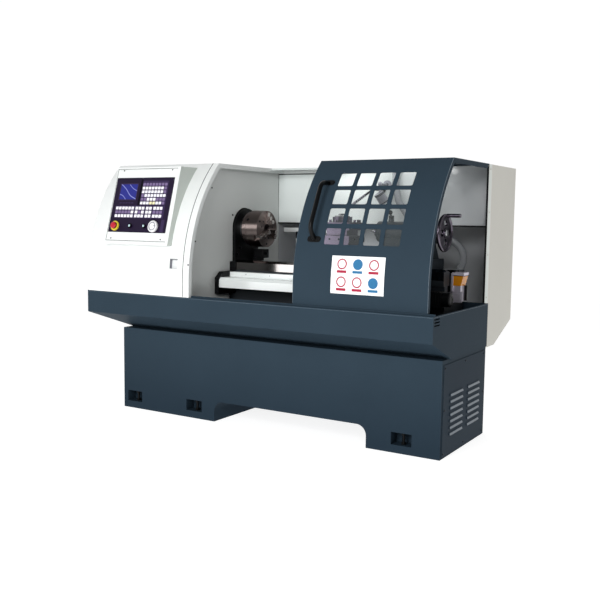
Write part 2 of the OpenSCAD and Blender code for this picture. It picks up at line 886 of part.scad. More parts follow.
module guard_outline(g, front) {
    chamfer = atan(guard_knee / (guard_back - guard_knee_d));
    polygon([[front, roof_z - g], [guard_back - g, roof_z - g],
        [guard_back - g, guard_low + guard_knee + g / cos(chamfer) - g * tan(chamfer)],
        [guard_knee_d + (g - g / cos(chamfer)) / tan(chamfer), guard_low + g],
        [front, guard_low + g]]);
}

module rear_guard() {
    guard_l = guard_x1 - guard_x0;
    color(cream) {
        along_x(ledge_x0, guard_x1 - ledge_x0) difference() {
            guard_outline(0, guard_front);
            guard_outline(sheet, guard_front - cut);
        }
        along_x(guard_x0, ledge_x0 - guard_x0) difference() {
            guard_outline(0, cover_d + sheet);
            guard_outline(sheet, cover_d + sheet - cut);
        }
        along_x(guard_x1 - sheet, sheet) guard_outline(0, guard_front);
        along_x(guard_x0, sheet) guard_outline(0, cover_d + sheet);
        block(guard_x1 - cut, guard_front, guard_low, sheet + cut, 2 * edge_return, roof_z - guard_low);
        block(ledge_x0, guard_front, roof_z - ledge_drop, ledge_l, sheet, ledge_drop);
        block(ledge_x0, guard_front - ledge_w, roof_z - ledge_drop, ledge_l, ledge_w + sheet, sheet);
        block(guard_x0, stand_back, guard_low, guard_l, cover_d - stand_back + 2 * sheet, sheet);
        block(guard_x0, cover_d, splash_low, guard_l, sheet, roof_z - splash_low);
        block(guard_x0, cover_d, splash_low, guard_l, 2 * edge_return, sheet);
    }
}

// Electrical cabinet behind the headstock, with a hinged rear door
cabinet_gap = 6;
cabinet_top = roof_z - 40;
cabinet_back = guard_back - cabinet_door_t - clear;
cabinet_x1 = wall_x;
cabinet_l = cabinet_x1 - cover_x0;
cab_open_x0 = cover_x0 + 50;
cab_open_x1 = cabinet_x1 - 40;
cab_open_low = guard_low + guard_knee + 50;
cab_open_top = cabinet_top - 45;
cab_hinge_x = cab_open_x0 - 26;
cab_hinge_depth = cabinet_back + cabinet_door_t / 2;
cab_hinge_zs = [cab_open_low + 120, cab_open_top - 120];

module cabinet_outline(g) {
    mid = cover_d + cabinet_gap;
    polygon([[mid + g, cabinet_top - g], [cabinet_back - g, cabinet_top - g],
        [cabinet_back - g, guard_low + guard_knee + g / 2], [guard_knee_d + g / 4, guard_low + g],
        [stand_back + g, guard_low + g], [stand_back + g, tray_top - g], [mid + g, tray_top - g]]);
}

module electrical_cabinet() {
    color(cream) difference() {
        union() {
            difference() {
                along_x(cover_x0, cabinet_l) cabinet_outline(0);
                along_x(cover_x0 + sheet, cabinet_l - 2 * sheet) cabinet_outline(sheet);
            }
            for (z = cab_hinge_zs)
                translate([cab_hinge_x, front_y + cab_hinge_depth, z]) rotate([0, 0, -90])
                    hinge_fixed(cabinet_door_t / 2 + cut, 2 * hinge_r);
        }
        block(cab_open_x0, cabinet_back - 2 * sheet, cab_open_low, cab_open_x1 - cab_open_x0,
            3 * sheet, cab_open_top - cab_open_low);
    }
}

module cabinet_door() {
    lap = 14;
    w = cab_open_x1 - cab_open_x0 + 2 * lap;
    h = cab_open_top - cab_open_low + 2 * lap;
    color(cream) {
        difference() {
            block(cab_open_x0 - lap, cabinet_back + clear, cab_open_low - lap, w, cabinet_door_t, h);
            block(cab_open_x0 - lap + sheet, cabinet_back, cab_open_low - lap + sheet,
                w - 2 * sheet, cabinet_door_t + clear - sheet, h - 2 * sheet);
        }
        for (z = cab_hinge_zs)
            translate([cab_hinge_x, front_y + cab_hinge_depth, z])
                hinge_knuckle_body(cab_open_x0 - lap - cab_hinge_x + sheet / 2, sheet, -hinge_r);
        translate([cab_open_x1 - 40, front_y + cabinet_back + clear + cabinet_door_t - cut,
            (cab_open_low + cab_open_top) / 2]) rotate([-90, 0, 0]) cylinder(d = 26, h = 1.5 + cut);
    }
}

// Cast-iron bed: two walls with ways, tied by cross ribs
web_t = 45;
web_in = 15;
rib_t = 24;
rib_pitch = 260;
flange_h = 40;
vee_depth = bed_front + way_w / 2;

module bed_outline() {
    for (d = [bed_front, bed_back - way_w])
        translate([d, bed_top - way_h]) square([way_w, way_h]);
    for (d = [bed_front + web_in, bed_back - web_in - web_t])
        translate([d, tray_floor]) square([web_t, bed_top - tray_floor - way_h / 2]);
    translate([bed_front, tray_floor]) square([way_w, flange_h]);
    translate([bed_back - way_w, tray_floor]) square([way_w, flange_h]);
    translate([vee_depth, bed_top]) polygon([[-vee_w, -cut], [0, vee_h], [vee_w, -cut]]);
}

module bed() {
    bed_l = bed_x1 - bed_x0;
    ribs = floor(bed_l / rib_pitch);
    step = (bed_l - rib_t) / ribs;
    color("#4a4d50") {
        along_x(bed_x0, bed_l) bed_outline();
        for (i = [0:ribs])
            block(bed_x0 + i * step, bed_front + 20, tray_floor, rib_t, bed_w - 40,
                bed_top - way_h - tray_floor - 40);
    }
}

// Headstock casting with an arched nose, and a shelf for the motor
case_l = 560;
case_top = spindle_z + 150;
shelf_t = 14;
motor_depth = spindle_depth + motor_back;
motor_z = spindle_z - motor_drop;
motor_x = bed_x0 - 30;
shelf_z = motor_z - motor_d / 2 - shelf_t;

module headstock() {
    color(cast_black) difference() {
        union() {
            along_x(bed_x0, nose_x - bed_x0) difference() {
                nose_outline(0);
                translate([spindle_depth - nose_r, bed_top - 2 * cut])
                    square([2 * nose_r, 2 * cut]);
            }
            block(bed_x0, bed_front, bed_top, case_l, bed_w, case_top - bed_top);
            block(motor_x + 60, bed_back - cut, shelf_z, motor_l - 90,
                motor_depth - bed_back + motor_d / 2 - 10, shelf_t);
        }
        x_rod(bed_x0 - cut, nose_x - bed_x0 + 2 * cut, bearing_d);
        translate([bed_x0 - cut, front_y + vee_depth, bed_top])
            rotate([90, 0, 90]) linear_extrude(nose_x - bed_x0 + 2 * cut)
                polygon([[-vee_w - 1, -cut], [0, vee_h + 1], [vee_w + 1, -cut]]);
    }
}

bearing_w = 42;

module spindle_bearings() {
    color(bright_steel) for (x = [bed_x0, nose_x - bearing_w]) difference() {
        x_rod(x, bearing_w, bearing_d);
        x_rod(x - cut, bearing_w + 2 * cut, spindle_d + 2 * run_gap);
    }
}

// Spindle with its nose flange
spindle_tail = 150;
flange_d = 165;

module spindle() {
    color(bright_steel) difference() {
        union() {
            x_rod(bed_x0 - spindle_tail, nose_x - bed_x0 + spindle_tail + cut, spindle_d);
            x_rod(nose_x + clear, flange_t - clear, flange_d);
        }
        x_rod(bed_x0 - spindle_tail - cut, nose_x - bed_x0 + spindle_tail + flange_t + 2 * cut,
            spindle_bore);
    }
}

// Pulley for a flat toothed belt, with flanges, about a shaft
pulley_x = bed_x0 - spindle_tail + 20;
flange_rise = 6;

module pulley(d, bore) {
    rotate([0, 90, 0]) rotate_extrude() polygon([
        [bore / 2, 0], [d / 2 + flange_rise, 0], [d / 2 + flange_rise, 4], [d / 2, 6],
        [d / 2, pulley_w - 6], [d / 2 + flange_rise, pulley_w - 4], [d / 2 + flange_rise, pulley_w],
        [bore / 2, pulley_w]
    ]);
}

module spindle_pulley() {
    color("#8c8f92") translate([pulley_x, spindle_y, spindle_z]) pulley(spindle_pulley_d, spindle_d);
}

motor_shaft_d = 38;

module motor_pulley() {
    color("#8c8f92") {
        translate([pulley_x, front_y + motor_depth, motor_z])
            pulley(motor_pulley_d, motor_shaft_d - 4);
        x_rod(pulley_x, motor_x - pulley_x + 60, motor_shaft_d, motor_depth, motor_z);
    }
}

// Outline of the belt round both pulleys, at a distance from their faces
module belt_outline(grow) {
    reach = norm([motor_back, motor_drop]);
    hull() {
        circle(spindle_pulley_d / 2 + grow, $fn = 96);
        translate([reach, 0]) circle(motor_pulley_d / 2 + grow, $fn = 96);
    }
}

module drive_belt() {
    side = 8;
    color("#191a1c") translate([pulley_x + side, spindle_y, spindle_z]) rotate([90, 0, 90])
        rotate([0, 0, -atan2(motor_drop, motor_back)]) linear_extrude(pulley_w - 2 * side)
            difference() {
                belt_outline(clear + belt_t);
                belt_outline(clear);
            }
}

module main_motor() {
    fins = 18;
    fin_h = 5;
    core = motor_d - 2 * fin_h;
    color("#5d6468") difference() {
        union() {
            x_rod(motor_x + 30, motor_l - 30, core, motor_depth, motor_z);
            x_rod(motor_x, 34, motor_d - 60, motor_depth, motor_z);
            for (i = [0:fins - 1])
                translate([motor_x + 60, front_y + motor_depth, motor_z])
                    rotate([360 / fins * i + 10, 0, 0]) translate([0, -2, core / 2 - 2])
                        cube([motor_l - 120, 4, fin_h + 1.5]);
            block(motor_x + 80, motor_depth - 75, shelf_z + shelf_t, motor_l - 130, 150, 30);
        }
        x_rod(motor_x - cut, 80, motor_shaft_d + 2 * run_gap, motor_depth, motor_z);
    }
}

// Three-jaw chuck, worked out in its own frame with z along the spindle
slot_floor = chuck_l - 31;
scroll_in_r = 44;
scroll_out_r = 98;
scroll_z = 30;
pinion_z = 17;
pinion_in_r = 58;
jaw_gap = 0.1;
jaw_foot_w = 38;
jaw_foot_h = 12;

module in_chuck(x) {
    translate([x, spindle_y, spindle_z]) rotate([0, 90, 0]) rotate([0, 0, -61]) children();
}

module jaw_slot_outline(grow) {
    translate([-jaw_w / 2 - grow, jaw_foot_h - cut])
        square([jaw_w + 2 * grow, chuck_l - slot_floor - jaw_foot_h + 2 * cut]);
    translate([-jaw_foot_w / 2 - grow, -grow]) square([jaw_foot_w + 2 * grow, jaw_foot_h + 2 * grow]);
}

module along_radius(angle, r0, l) {
    rotate([0, 0, angle]) translate([r0, 0, 0]) rotate([90, 0, 90]) linear_extrude(l) children();
}

module chuck_back_plate() {
    color(tool_steel) in_chuck(chuck_x0) difference() {
        cylinder(d = chuck_d - 16, h = back_plate_t);
        translate([0, 0, -cut]) cylinder(d = spindle_bore, h = back_plate_t + 2 * cut);
    }
}

module chuck_body() {
    groove_at = [8];
    color(tool_steel) in_chuck(chuck_x1) difference() {
        cylinder(d = chuck_d, h = chuck_l);
        translate([0, 0, -cut]) cylinder(d = spindle_bore + 13, h = chuck_l + 2 * cut);
        translate([0, 0, scroll_z]) difference() {
            cylinder(r = scroll_out_r, h = slot_floor - scroll_z);
            translate([0, 0, -cut]) cylinder(r = scroll_in_r, h = chuck_l);
        }
        for (i = [0:2])
            translate([0, 0, slot_floor]) along_radius(120 * i, 0, chuck_d) jaw_slot_outline(jaw_gap);
        for (i = [0:2]) rotate([0, 0, 120 * i + 60]) translate([pinion_in_r, 0, pinion_z])
            rotate([0, 90, 0]) cylinder(d = pinion_d + 2 * run_gap, h = chuck_d);
        for (z = groove_at) translate([0, 0, z]) difference() {
            cylinder(d = chuck_d + 2, h = 3);
            translate([0, 0, -cut]) cylinder(d = chuck_d - 5, h = 5);
        }
    }
}

module scroll_plate() {
    color("#6d6460") in_chuck(chuck_x1) translate([0, 0, scroll_z + clear]) difference() {
        cylinder(r = scroll_out_r - clear, h = slot_floor - scroll_z - 2 * clear);
        translate([0, 0, -cut]) cylinder(r = scroll_in_r + run_gap, h = chuck_l);
    }
}

// Stepped jaw in its slot
module chuck_jaw(i) {
    reach = [24, 48, jaw_l];
    step_h = [1, 0.66, 0.33];
    color("#77706d") in_chuck(chuck_x1) intersection() {
        union() {
            translate([0, 0, slot_floor]) along_radius(120 * i, jaw_in, jaw_l) jaw_slot_outline(0);
            for (k = [0:2])
                translate([0, 0, chuck_l - cut]) along_radius(120 * i, jaw_in, reach[k])
                    translate([-jaw_w / 2, 0]) square([jaw_w, jaw_out * step_h[k] + cut]);
        }
        translate([0, 0, slot_floor + jaw_gap]) cylinder(d = chuck_d, h = chuck_l);
    }
}

module chuck_jaw_1() chuck_jaw(0);
module chuck_jaw_2() chuck_jaw(1);
module chuck_jaw_3() chuck_jaw(2);

// Pinion that turns the scroll, with a square socket for the key
module chuck_pinion(i) {
    socket = 11;
    len = chuck_d / 2 - pinion_in_r - 3;
    color("#3a3432") in_chuck(chuck_x1) rotate([0, 0, 120 * i + 60])
        translate([pinion_in_r + clear, 0, pinion_z]) rotate([0, 90, 0]) difference() {
            cylinder(d = pinion_d, h = len);
            translate([-socket / 2, -socket / 2, len - 18]) cube([socket, socket, 20]);
        }
}

module chuck_pinion_1() chuck_pinion(0);
module chuck_pinion_2() chuck_pinion(1);
module chuck_pinion_3() chuck_pinion(2);

// Longitudinal screw with its bearing block, motor bracket, motor and folded guard
block_l = 30;
screw_x0 = wall_x + sheet + 4;
bracket_x = x_right - 320;
bracket_l = 35;
journal_d = 20;
support_low = z_screw_z - 48;
support_top = bed_top - way_h;
support_crest = support_top + 25;

module screw_support(x, l) {
    difference() {
        along_x(x, l) polygon([[guard_face - 6, support_low], [guard_face - 6, support_crest - 38],
            [guard_face + 40, support_crest], [bed_front, support_crest], [bed_front, support_top],
            [bed_front + web_in, support_top], [bed_front + web_in, support_low]]);
        x_rod(x - cut, l + 2 * cut, journal_d + 2 * run_gap, z_screw_depth, z_screw_z);
    }
}

module screw_bearing_block() {
    color(cast_black) screw_support(screw_x0, block_l);
}

module z_motor_bracket() {
    color(cast_black) screw_support(bracket_x, bracket_l);
}

module servo_motor() {
    cap = 40;
    difference() {
        union() {
            translate([-servo_w / 2, -servo_w / 2, 0]) cube([servo_w, servo_w, 16]);
            translate([-servo_w / 2 + 3, -servo_w / 2 + 3, 16])
                cube([servo_w - 6, servo_w - 6, servo_l - 16 - cap]);
            translate([0, 0, servo_l - cap]) cylinder(d = servo_w - 10, h = cap);
        }
        translate([0, 0, -cut]) cylinder(d = journal_d + 2, h = 40);
    }
}

module z_servo_motor() {
    color("#15171a") translate([bracket_x + bracket_l, front_y + z_screw_depth, z_screw_z])
        rotate([0, 90, 0]) servo_motor();
}

module z_ballscrew() {
    tail = 25;
    color(bright_steel) {
        x_rod(screw_x0 + block_l + clear, bracket_x - screw_x0 - block_l - 2 * clear, z_screw_d,
            z_screw_depth, z_screw_z);
        x_rod(screw_x0 + 2, bracket_x + bracket_l + tail - screw_x0, journal_d,
            z_screw_depth, z_screw_z);
    }
}

module screw_guard_outline(g, over) {
    shelf = z_screw_z + guard_rise;
    step = [bed_front - 48 + g, shelf + 30 - g];
    foot = z_screw_z - 4;
    bend = 15;
    polygon([[bed_front + over, step[1]], step, [step[0], shelf - g], [guard_face + bend, shelf - g],
        [guard_face + g, shelf - bend], [guard_face + g, foot - over], [bed_front + over, foot - over]]);
}

module screw_guard() {
    color(white_paint) along_x(screw_x0 + block_l, bracket_x - screw_x0 - block_l) difference() {
        screw_guard_outline(0, 0);
        screw_guard_outline(guard_t, cut);
    }
}

// Carriage: saddle on the ways, apron and nut housing round the screw guard
apron_t = 54;
apron_gap = 8;
nut_d = 48;
channel_w = 52;
channel_z = bed_top + 22;
x_screw_z = bed_top + 46;
apron_w = 180;
nut_w = 90;
x_bearing_t = 30;

module dovetail_outline(grow) {
    flare = dovetail_h * tan(30);
    polygon([[-dovetail_w / 2 - grow, -grow], [dovetail_w / 2 + grow, -grow],
        [dovetail_w / 2 + flare + grow, dovetail_h + grow],
        [-dovetail_w / 2 - flare - grow, dovetail_h + grow]]);
}

module carriage() {
    saddle_d = saddle_back - saddle_front;
    apron_back = guard_face - apron_gap;
    hook_top = z_screw_z - 27;
    hook_low = support_low + 2;
    color("#4b5157") difference() {
        union() {
            block(carriage_x - saddle_l / 2, saddle_front, bed_top + way_gap, saddle_l, saddle_d, saddle_t);
            along_y(saddle_front, saddle_d) translate([carriage_x, saddle_top - cut])
                dovetail_outline(0);
            block(carriage_x - apron_w / 2, apron_back - apron_t, hook_low, apron_w, apron_t,
                bed_top - hook_low + 2 * cut);
            block(carriage_x - apron_w / 2, apron_back - apron_t, bed_top - 20, apron_w,
                saddle_front + cut - apron_back + apron_t, saddle_top - bed_top + 20);
            block(carriage_x - nut_w / 2, apron_back - cut, hook_low, nut_w,
                z_screw_depth + nut_d / 2 - apron_back, hook_top - hook_low);
            block(carriage_x - nut_w / 2, z_screw_depth - 15, hook_low, nut_w, 30,
                z_screw_z - hook_low);
            x_rod(carriage_x - nut_w / 2, nut_w, nut_d, z_screw_depth, z_screw_z);
        }
        along_x(carriage_x - saddle_l, 2 * saddle_l) translate([vee_depth, bed_top])
            polygon([[-vee_w - 2, -cut], [0, vee_h + 2], [vee_w + 2, -cut]]);
        block(carriage_x - channel_w / 2, saddle_front + x_bearing_t, channel_z, channel_w,
            saddle_d - 2 * x_bearing_t, saddle_t + dovetail_h);
        translate([carriage_x, front_y + saddle_front - cut, x_screw_z]) rotate([-90, 0, 0])
            cylinder(d = 16 + 2 * run_gap, h = saddle_d + 2 * cut);
        x_rod(carriage_x - nut_w, 2 * nut_w, z_screw_d + 2 * clear, z_screw_depth, z_screw_z);
    }
}

module x_ballscrew() {
    span = saddle_back - saddle_front - 2 * x_bearing_t;
    color(bright_steel) {
        translate([carriage_x, front_y + saddle_front + x_bearing_t + clear, x_screw_z])
            rotate([-90, 0, 0]) cylinder(d = x_screw_d, h = span - 2 * clear);
        translate([carriage_x, front_y + saddle_front + 4, x_screw_z])
            rotate([-90, 0, 0]) cylinder(d = 16, h = saddle_back - saddle_front + 20);
    }
}

module x_servo_motor() {
    color("#15171a") translate([carriage_x, front_y + saddle_back, x_screw_z]) rotate([-90, 0, 0])
        servo_motor();
}

// Cross slide with dovetail, nut and tee slots
slide_front = turret_depth - 110;
nut_depth = slide_front + 200;

module cross_slide() {
    slot_w = 14;
    color("#6b6f76") difference() {
        union() {
            block(carriage_x - slide_w / 2, slide_front, saddle_top + way_gap, slide_w, slide_l, slide_t);
            block(carriage_x - 18, nut_depth, x_screw_z - 16, 36, 50, saddle_top - x_screw_z + 18 + dovetail_h + 4);
        }
        difference() {
            along_y(slide_front - cut, slide_l + 2 * cut) translate([carriage_x, saddle_top - cut])
                dovetail_outline(way_gap);
            block(carriage_x - 18, nut_depth, channel_z, 36, 50, saddle_t + dovetail_h + 10);
        }
        translate([carriage_x, front_y + nut_depth - cut, x_screw_z]) rotate([-90, 0, 0])
            cylinder(d = x_screw_d + 2 * clear, h = 60);
        for (s = [-1, 1])
            block(carriage_x + s * 68 - slot_w / 2, slide_front - cut, slide_top - 12, slot_w,
                slide_l + 2 * cut, 12 + cut);
    }
}

module at_turret(z) {
    translate([carriage_x, front_y + turret_depth, z]) children();
}

module turret_base() {
    base_w = slide_w - 8;
    color("#6f6577") {
        at_turret(slide_top) translate([-base_w / 2, -base_w / 2, 0])
            cube([base_w, base_w, turret_base_h]);
        at_turret(slide_top) cylinder(d = post_d, h = turret_base_h + turret_h - 30);
    }
}

// Four-way turret head: stepped square block with an open tool slot on each side
module turret_head() {
    foot_h = 40;
    clamp_t = 46;
    slot_z = foot_h;
    top_z = foot_h + tool_slot_h + clamp_t;
    inner = turret_w - 2 * tool_slot_depth;
    screw_at = [-62, 0, 62];
    color("#7d7385") difference() {
        at_turret(head_z) {
            translate([-turret_w / 2, -turret_w / 2, 0]) cube([turret_w, turret_w, foot_h]);
            translate([-inner / 2, -inner / 2, foot_h - cut]) cube([inner, inner, tool_slot_h + 2 * cut]);
            translate([-turret_w / 2, -turret_w / 2, foot_h + tool_slot_h])
                cube([turret_w, turret_w, clamp_t]);
            translate([0, 0, top_z - cut]) cylinder(d = inner - 20, h = turret_h - top_z + cut);
            for (q = [0:3], s = screw_at) rotate([0, 0, 90 * q])
                translate([s - 6, turret_w / 2 - 22, top_z - cut]) cube([12, 12, 16]);
        }
        at_turret(head_z - cut) cylinder(d = post_d + 2 * run_gap, h = turret_h - 30 + 2 * cut);
    }
}

// Tailstock casting on the ways, with barrel
tail_foot_x = tail_x0 + 20;
foot_t = 60;

module tailstock() {
    foot_top = bed_top + way_gap + foot_t;
    neck = 110;
    color(dark_slate) difference() {
        union() {
            block(tail_foot_x, bed_front, bed_top + way_gap, tail_foot_l, bed_w, foot_t);
            along_x(tail_x0 + 35, barrel_l - 75) polygon([
                [bed_front + 30, foot_top - cut], [spindle_depth - neck / 2, spindle_z - 35],
                [spindle_depth + neck / 2, spindle_z - 35], [bed_back - 30, foot_top - cut]
            ]);
            x_rod(tail_x0, barrel_l, barrel_d);
            translate([tail_x0 + 75, spindle_y, spindle_z]) cylinder(d = 34, h = barrel_d / 2 + 12);
        }
        x_rod(tail_x0 - cut, barrel_l + 2 * cut, quill_d + 2 * run_gap);
        along_x(tail_x0, barrel_l) translate([vee_depth, bed_top])
            polygon([[-vee_w - 2, -cut], [0, vee_h + 2], [vee_w + 2, -cut]]);
        translate([tail_x0 + 75, spindle_y, spindle_z + quill_d / 2 + 6])
            cylinder(d = lever_d + 2 * run_gap, h = barrel_d);
    }
}

quill_x = tail_x0 - 20;
quill_l = 320;
quill_screw_d = 28;
taper_d = 36;
taper_l = 80;
lever_d = 18;
tail_end_t = 24;

module quill() {
    color(bright_steel) difference() {
        x_rod(quill_x, quill_l, quill_d);
        x_rod(quill_x + taper_l, quill_l, quill_screw_d + 2 * clear);
        x_rod(quill_x - cut, taper_l + 2 * cut, taper_d);
    }
}

module dead_centre() {
    tip = 40;
    color("#8f9093") translate([quill_x, spindle_y, spindle_z]) rotate([0, 90, 0]) {
        cylinder(d = taper_d, h = taper_l);
        translate([0, 0, -tip]) cylinder(d1 = 0.5, d2 = taper_d - 4, h = tip + cut);
    }
}

// Screw behind the quill, with the barrel's end plug as its bearing
module quill_screw() {
    start = quill_x + taper_l + 60;
    collar = tail_x1 - tail_end_t;
    color(bright_steel) {
        x_rod(start, wheel_x - start - 12, quill_screw_d);
        x_rod(collar, tail_end_t + 4, quill_d);
    }
}

// Handwheel with a round rim, three flat spokes and the peg's stud
peg_stud = 12;
peg_d = 22;
wheel_hole = 42;
disc_t = 10;
rim_mid = (wheel_d - wheel_rim) / 2;

module tailstock_handwheel() {
    hub_d = 56;
    color("#7b7a80") translate([wheel_x, spindle_y, spindle_z]) rotate([0, 90, 0]) {
        rotate_extrude($fn = 96) translate([rim_mid, 0]) circle(d = wheel_rim, $fn = 32);
        difference() {
            translate([0, 0, -34]) cylinder(d = hub_d, h = 42);
            translate([0, 0, -36]) cylinder(d = quill_screw_d, h = 24);
        }
        difference() {
            translate([0, 0, -disc_t / 2]) cylinder(r = rim_mid, h = disc_t, $fn = 96);
            for (i = [0:3]) rotate([0, 0, 90 * i]) translate([wheel_d / 4, 0, -disc_t])
                cylinder(d = wheel_hole, h = 2 * disc_t);
        }
        translate([-rim_mid, 0, 0]) cylinder(d = peg_stud, h = wheel_rim / 2 + peg_l);
    }
}

module handwheel_peg() {
    color(cast_black) translate([wheel_x + wheel_rim / 2 + clear, spindle_y, spindle_z + rim_mid])
        rotate([0, 90, 0]) difference() {
            cylinder(d = peg_d, h = peg_l);
            translate([0, 0, -cut]) cylinder(d = peg_stud + 2 * run_gap, h = peg_l + 2 * cut);
        }
}

// Clamp lever on top of the barrel, with a ball knob
module quill_clamp_lever() {
    base_z = spindle_z + barrel_d / 2 + 12 + clear;
    arm = 85;
    color(cast_black) translate([tail_x0 + 75, spindle_y, 0]) {
        translate([0, 0, spindle_z + quill_d / 2 + 8])
            cylinder(d = lever_d, h = base_z - spindle_z - quill_d / 2 - 7);
        translate([0, 0, base_z]) cylinder(d = 32, h = 22);
        translate([0, 0, base_z + 11]) rotate([70, 0, 20]) cylinder(d = 11, h = arm);
        translate([0, 0, base_z + 11]) rotate([70, 0, 20]) translate([0, 0, arm]) sphere(d = 28);
    }
}

// Sliding door: curved front with a grid of window cells, and a roof
window_arc = 254;
window_mid = (door_x0 + door_x1) / 2 - 2;
window_pitch = [cell_w + cell_bar, cell_h + cell_bar];
glide_w = 18;

module door() {
    off = (window_cells - 1) / 2;
    hoop_back = guard_front - ledge_w - clear;
    color(slate) difference() {
        union() {
            along_x(door_x0, door_l) difference() {
                hood_outline(door_off, tray_top + rail_h + clear, door_back);
                hood_outline(door_off, tray_top, door_back + cut, sheet);
            }
            for (x = [door_x0, door_x1 - sheet]) along_x(x, sheet) difference() {
                hood_outline(door_off, tray_top + rail_h + clear, hoop_back);
                hood_outline(door_off, tray_top, hoop_back + cut, edge_return);
            }
            block(door_x0, door_back - glide_w, roof_z - ledge_drop + sheet + clear, door_l, glide_w,
                ledge_drop - 2 * sheet);
        }
        for (i = [0:window_cells - 1], j = [0:window_cells - 1])
            on_curve(door_off, window_mid + (i - off) * window_pitch[0],
                window_arc + cell_h / 2 + j * window_pitch[1])
                translate([0, 0, -4 * sheet]) linear_extrude(8 * sheet)
                    rounded_rect(cell_w, cell_h, cell_r);
    }
}

module window_pane() {
    lap = 22;
    w = window_cells * window_pitch[0] - cell_bar + 2 * lap;
    arc = [window_arc - lap, window_arc + window_cells * window_pitch[1] - cell_bar + lap];
    zs = [for (a = arc) bend_z + hood_r * sin(a / hood_r * 180 / PI)];
    color("#cfe3e8", 0.35) along_x(window_mid - w / 2, w) intersection() {
        translate([door_off + hood_r, bend_z]) difference() {
            circle(hood_r - sheet, $fn = curve_fn);
            circle(hood_r - sheet - pane_t, $fn = curve_fn);
        }
        translate([door_off, zs[0]]) square([hood_r / 2, zs[1] - zs[0]]);
    }
}

// Bow handle on the door's left side
handle_from_left = 111;
handle_arcs = [281, 628];
handle_splay = 32;

function curve_point(off, arc) = [
    off + hood_r * (1 - cos(arc / hood_r * 180 / PI)),
    bend_z + hood_r * sin(arc / hood_r * 180 / PI)
];

module door_handle() {
    x = door_x0 + handle_from_left;
    a = curve_point(door_off, handle_arcs[0]);
    b = curve_point(door_off, handle_arcs[1]);
    up = (b - a) / norm(b - a);
    out = [-up[1], up[0]];
    corners = [a, a + handle_splay * up + handle_out * out, b - handle_splay * up + handle_out * out, b];
    route = [for (p = corners) [x, front_y + p[0], p[1]]];
    color("#0d0f12") difference() {
        planar_tube(rounded_path(route, 40, 8), handle_d, [1, 0, 0], 20);
        along_x(x - handle_d, 2 * handle_d) hood_outline(door_off, tray_top, door_back);
    }
}

// Lubricator on the bed's right end
pump_plate = 6;
pump_depth = 598;
pump_z = tray_top + 13;

module lubricator() {
    color("#b3adbb") {
        block(bed_x1, pump_depth - 10, pump_z, pump_plate, pump_w + 30, pump_h - 5);
        block(bed_x1 + pump_plate - cut, pump_depth, pump_z + 10, pump_l - 20, pump_w - 20, pump_h - 85);
        block(bed_x1 + pump_plate - cut, pump_depth - 10, pump_z + pump_h - 16, pump_l, pump_w, 16);
    }
}

// The reservoir's side view, narrower below, shrunk by its wall
module reservoir_outline(g, over) {
    low = pump_z + pump_h - 75;
    far = bed_x1 + pump_plate + pump_l - 2 - g;
    near = bed_x1 + pump_plate + g;
    polygon([[near, low + 59 + over], [far, low + 59 + over], [far - 16, low + g], [near, low + g]]);
}

module oil_reservoir() {
    wall = 3;
    color("#d18c28") difference() {
        along_y(pump_depth - 8, pump_w - 4) reservoir_outline(0, 0);
        along_y(pump_depth - 8 + wall, pump_w - 4 - 2 * wall) reservoir_outline(wall, cut);
    }
}

// Route of the cable conduit along the back, as X from the tray's right end and height
conduit_route = [
    [700, 1597], [700, 1480], [676, 1379], [605, 1285], [480, 1205], [370, 1163], [300, 1136],
    [252, 1103], [230, 1055], [232, 1003], [262, 948], [312, 870], [343, 780], [350, 680], [350, 507]
];

module conduit() {
    low = guard_low + sheet;
    high = roof_z - sheet;
    route = [for (i = [0:len(conduit_route) - 1])
        let (p = conduit_route[i])
        let (z = i == 0 ? high : i == len(conduit_route) - 1 ? low : p[1])
        [x_right - p[0], front_y + conduit_depth, z]];
    color("#8d8f91") planar_tube(rounded_path(route, 24, 3), conduit_d, [0, 1, 0], 12);
}

// Work lamp on the splash panel
lamp_x = x_right - 770;
lamp_z = roof_z - 110;
lamp_reach = 110;

module work_lamp() {
    root = [lamp_x, front_y + cover_d, lamp_z];
    head = root + [0, -lamp_reach, -70];
    color("#2a2c30") {
        translate(root) rotate([90, 0, 0]) cylinder(d = 56, h = 10);
        translate(root) rotate([90, 0, 0]) cylinder(d = 16, h = lamp_reach);
        translate(root + [0, -lamp_reach, 0]) sphere(d = 30);
        translate(head) cylinder(d = 16, h = 70);
        translate(head) rotate([25, -25, 0]) translate([0, 0, -60]) difference() {
            cylinder(d = lamp_d, h = 75);
            translate([0, 0, -cut]) cylinder(d = lamp_d - 8, h = 40);
        }
    }
}

// Coolant pipe from the splash panel towards the tool
module coolant_pipe() {
    root = [x_right - 800, front_y + cover_d, roof_z - 145];
    bend = root + [0, -150, 0];
    tip = bend + [-140, 0, -92];
    run = norm(tip - bend);
    color("#26282c") {
        translate(root) rotate([90, 0, 0]) cylinder(d = 2.5 * pipe_d, h = 14);
        translate(root) rotate([90, 0, 0]) cylinder(d = pipe_d, h = 150);
        translate(bend) sphere(d = 2 * pipe_d);
        translate(bend) rotate([0, -atan2(140, -92), 0]) cylinder(d = pipe_d, h = run);
    }
}

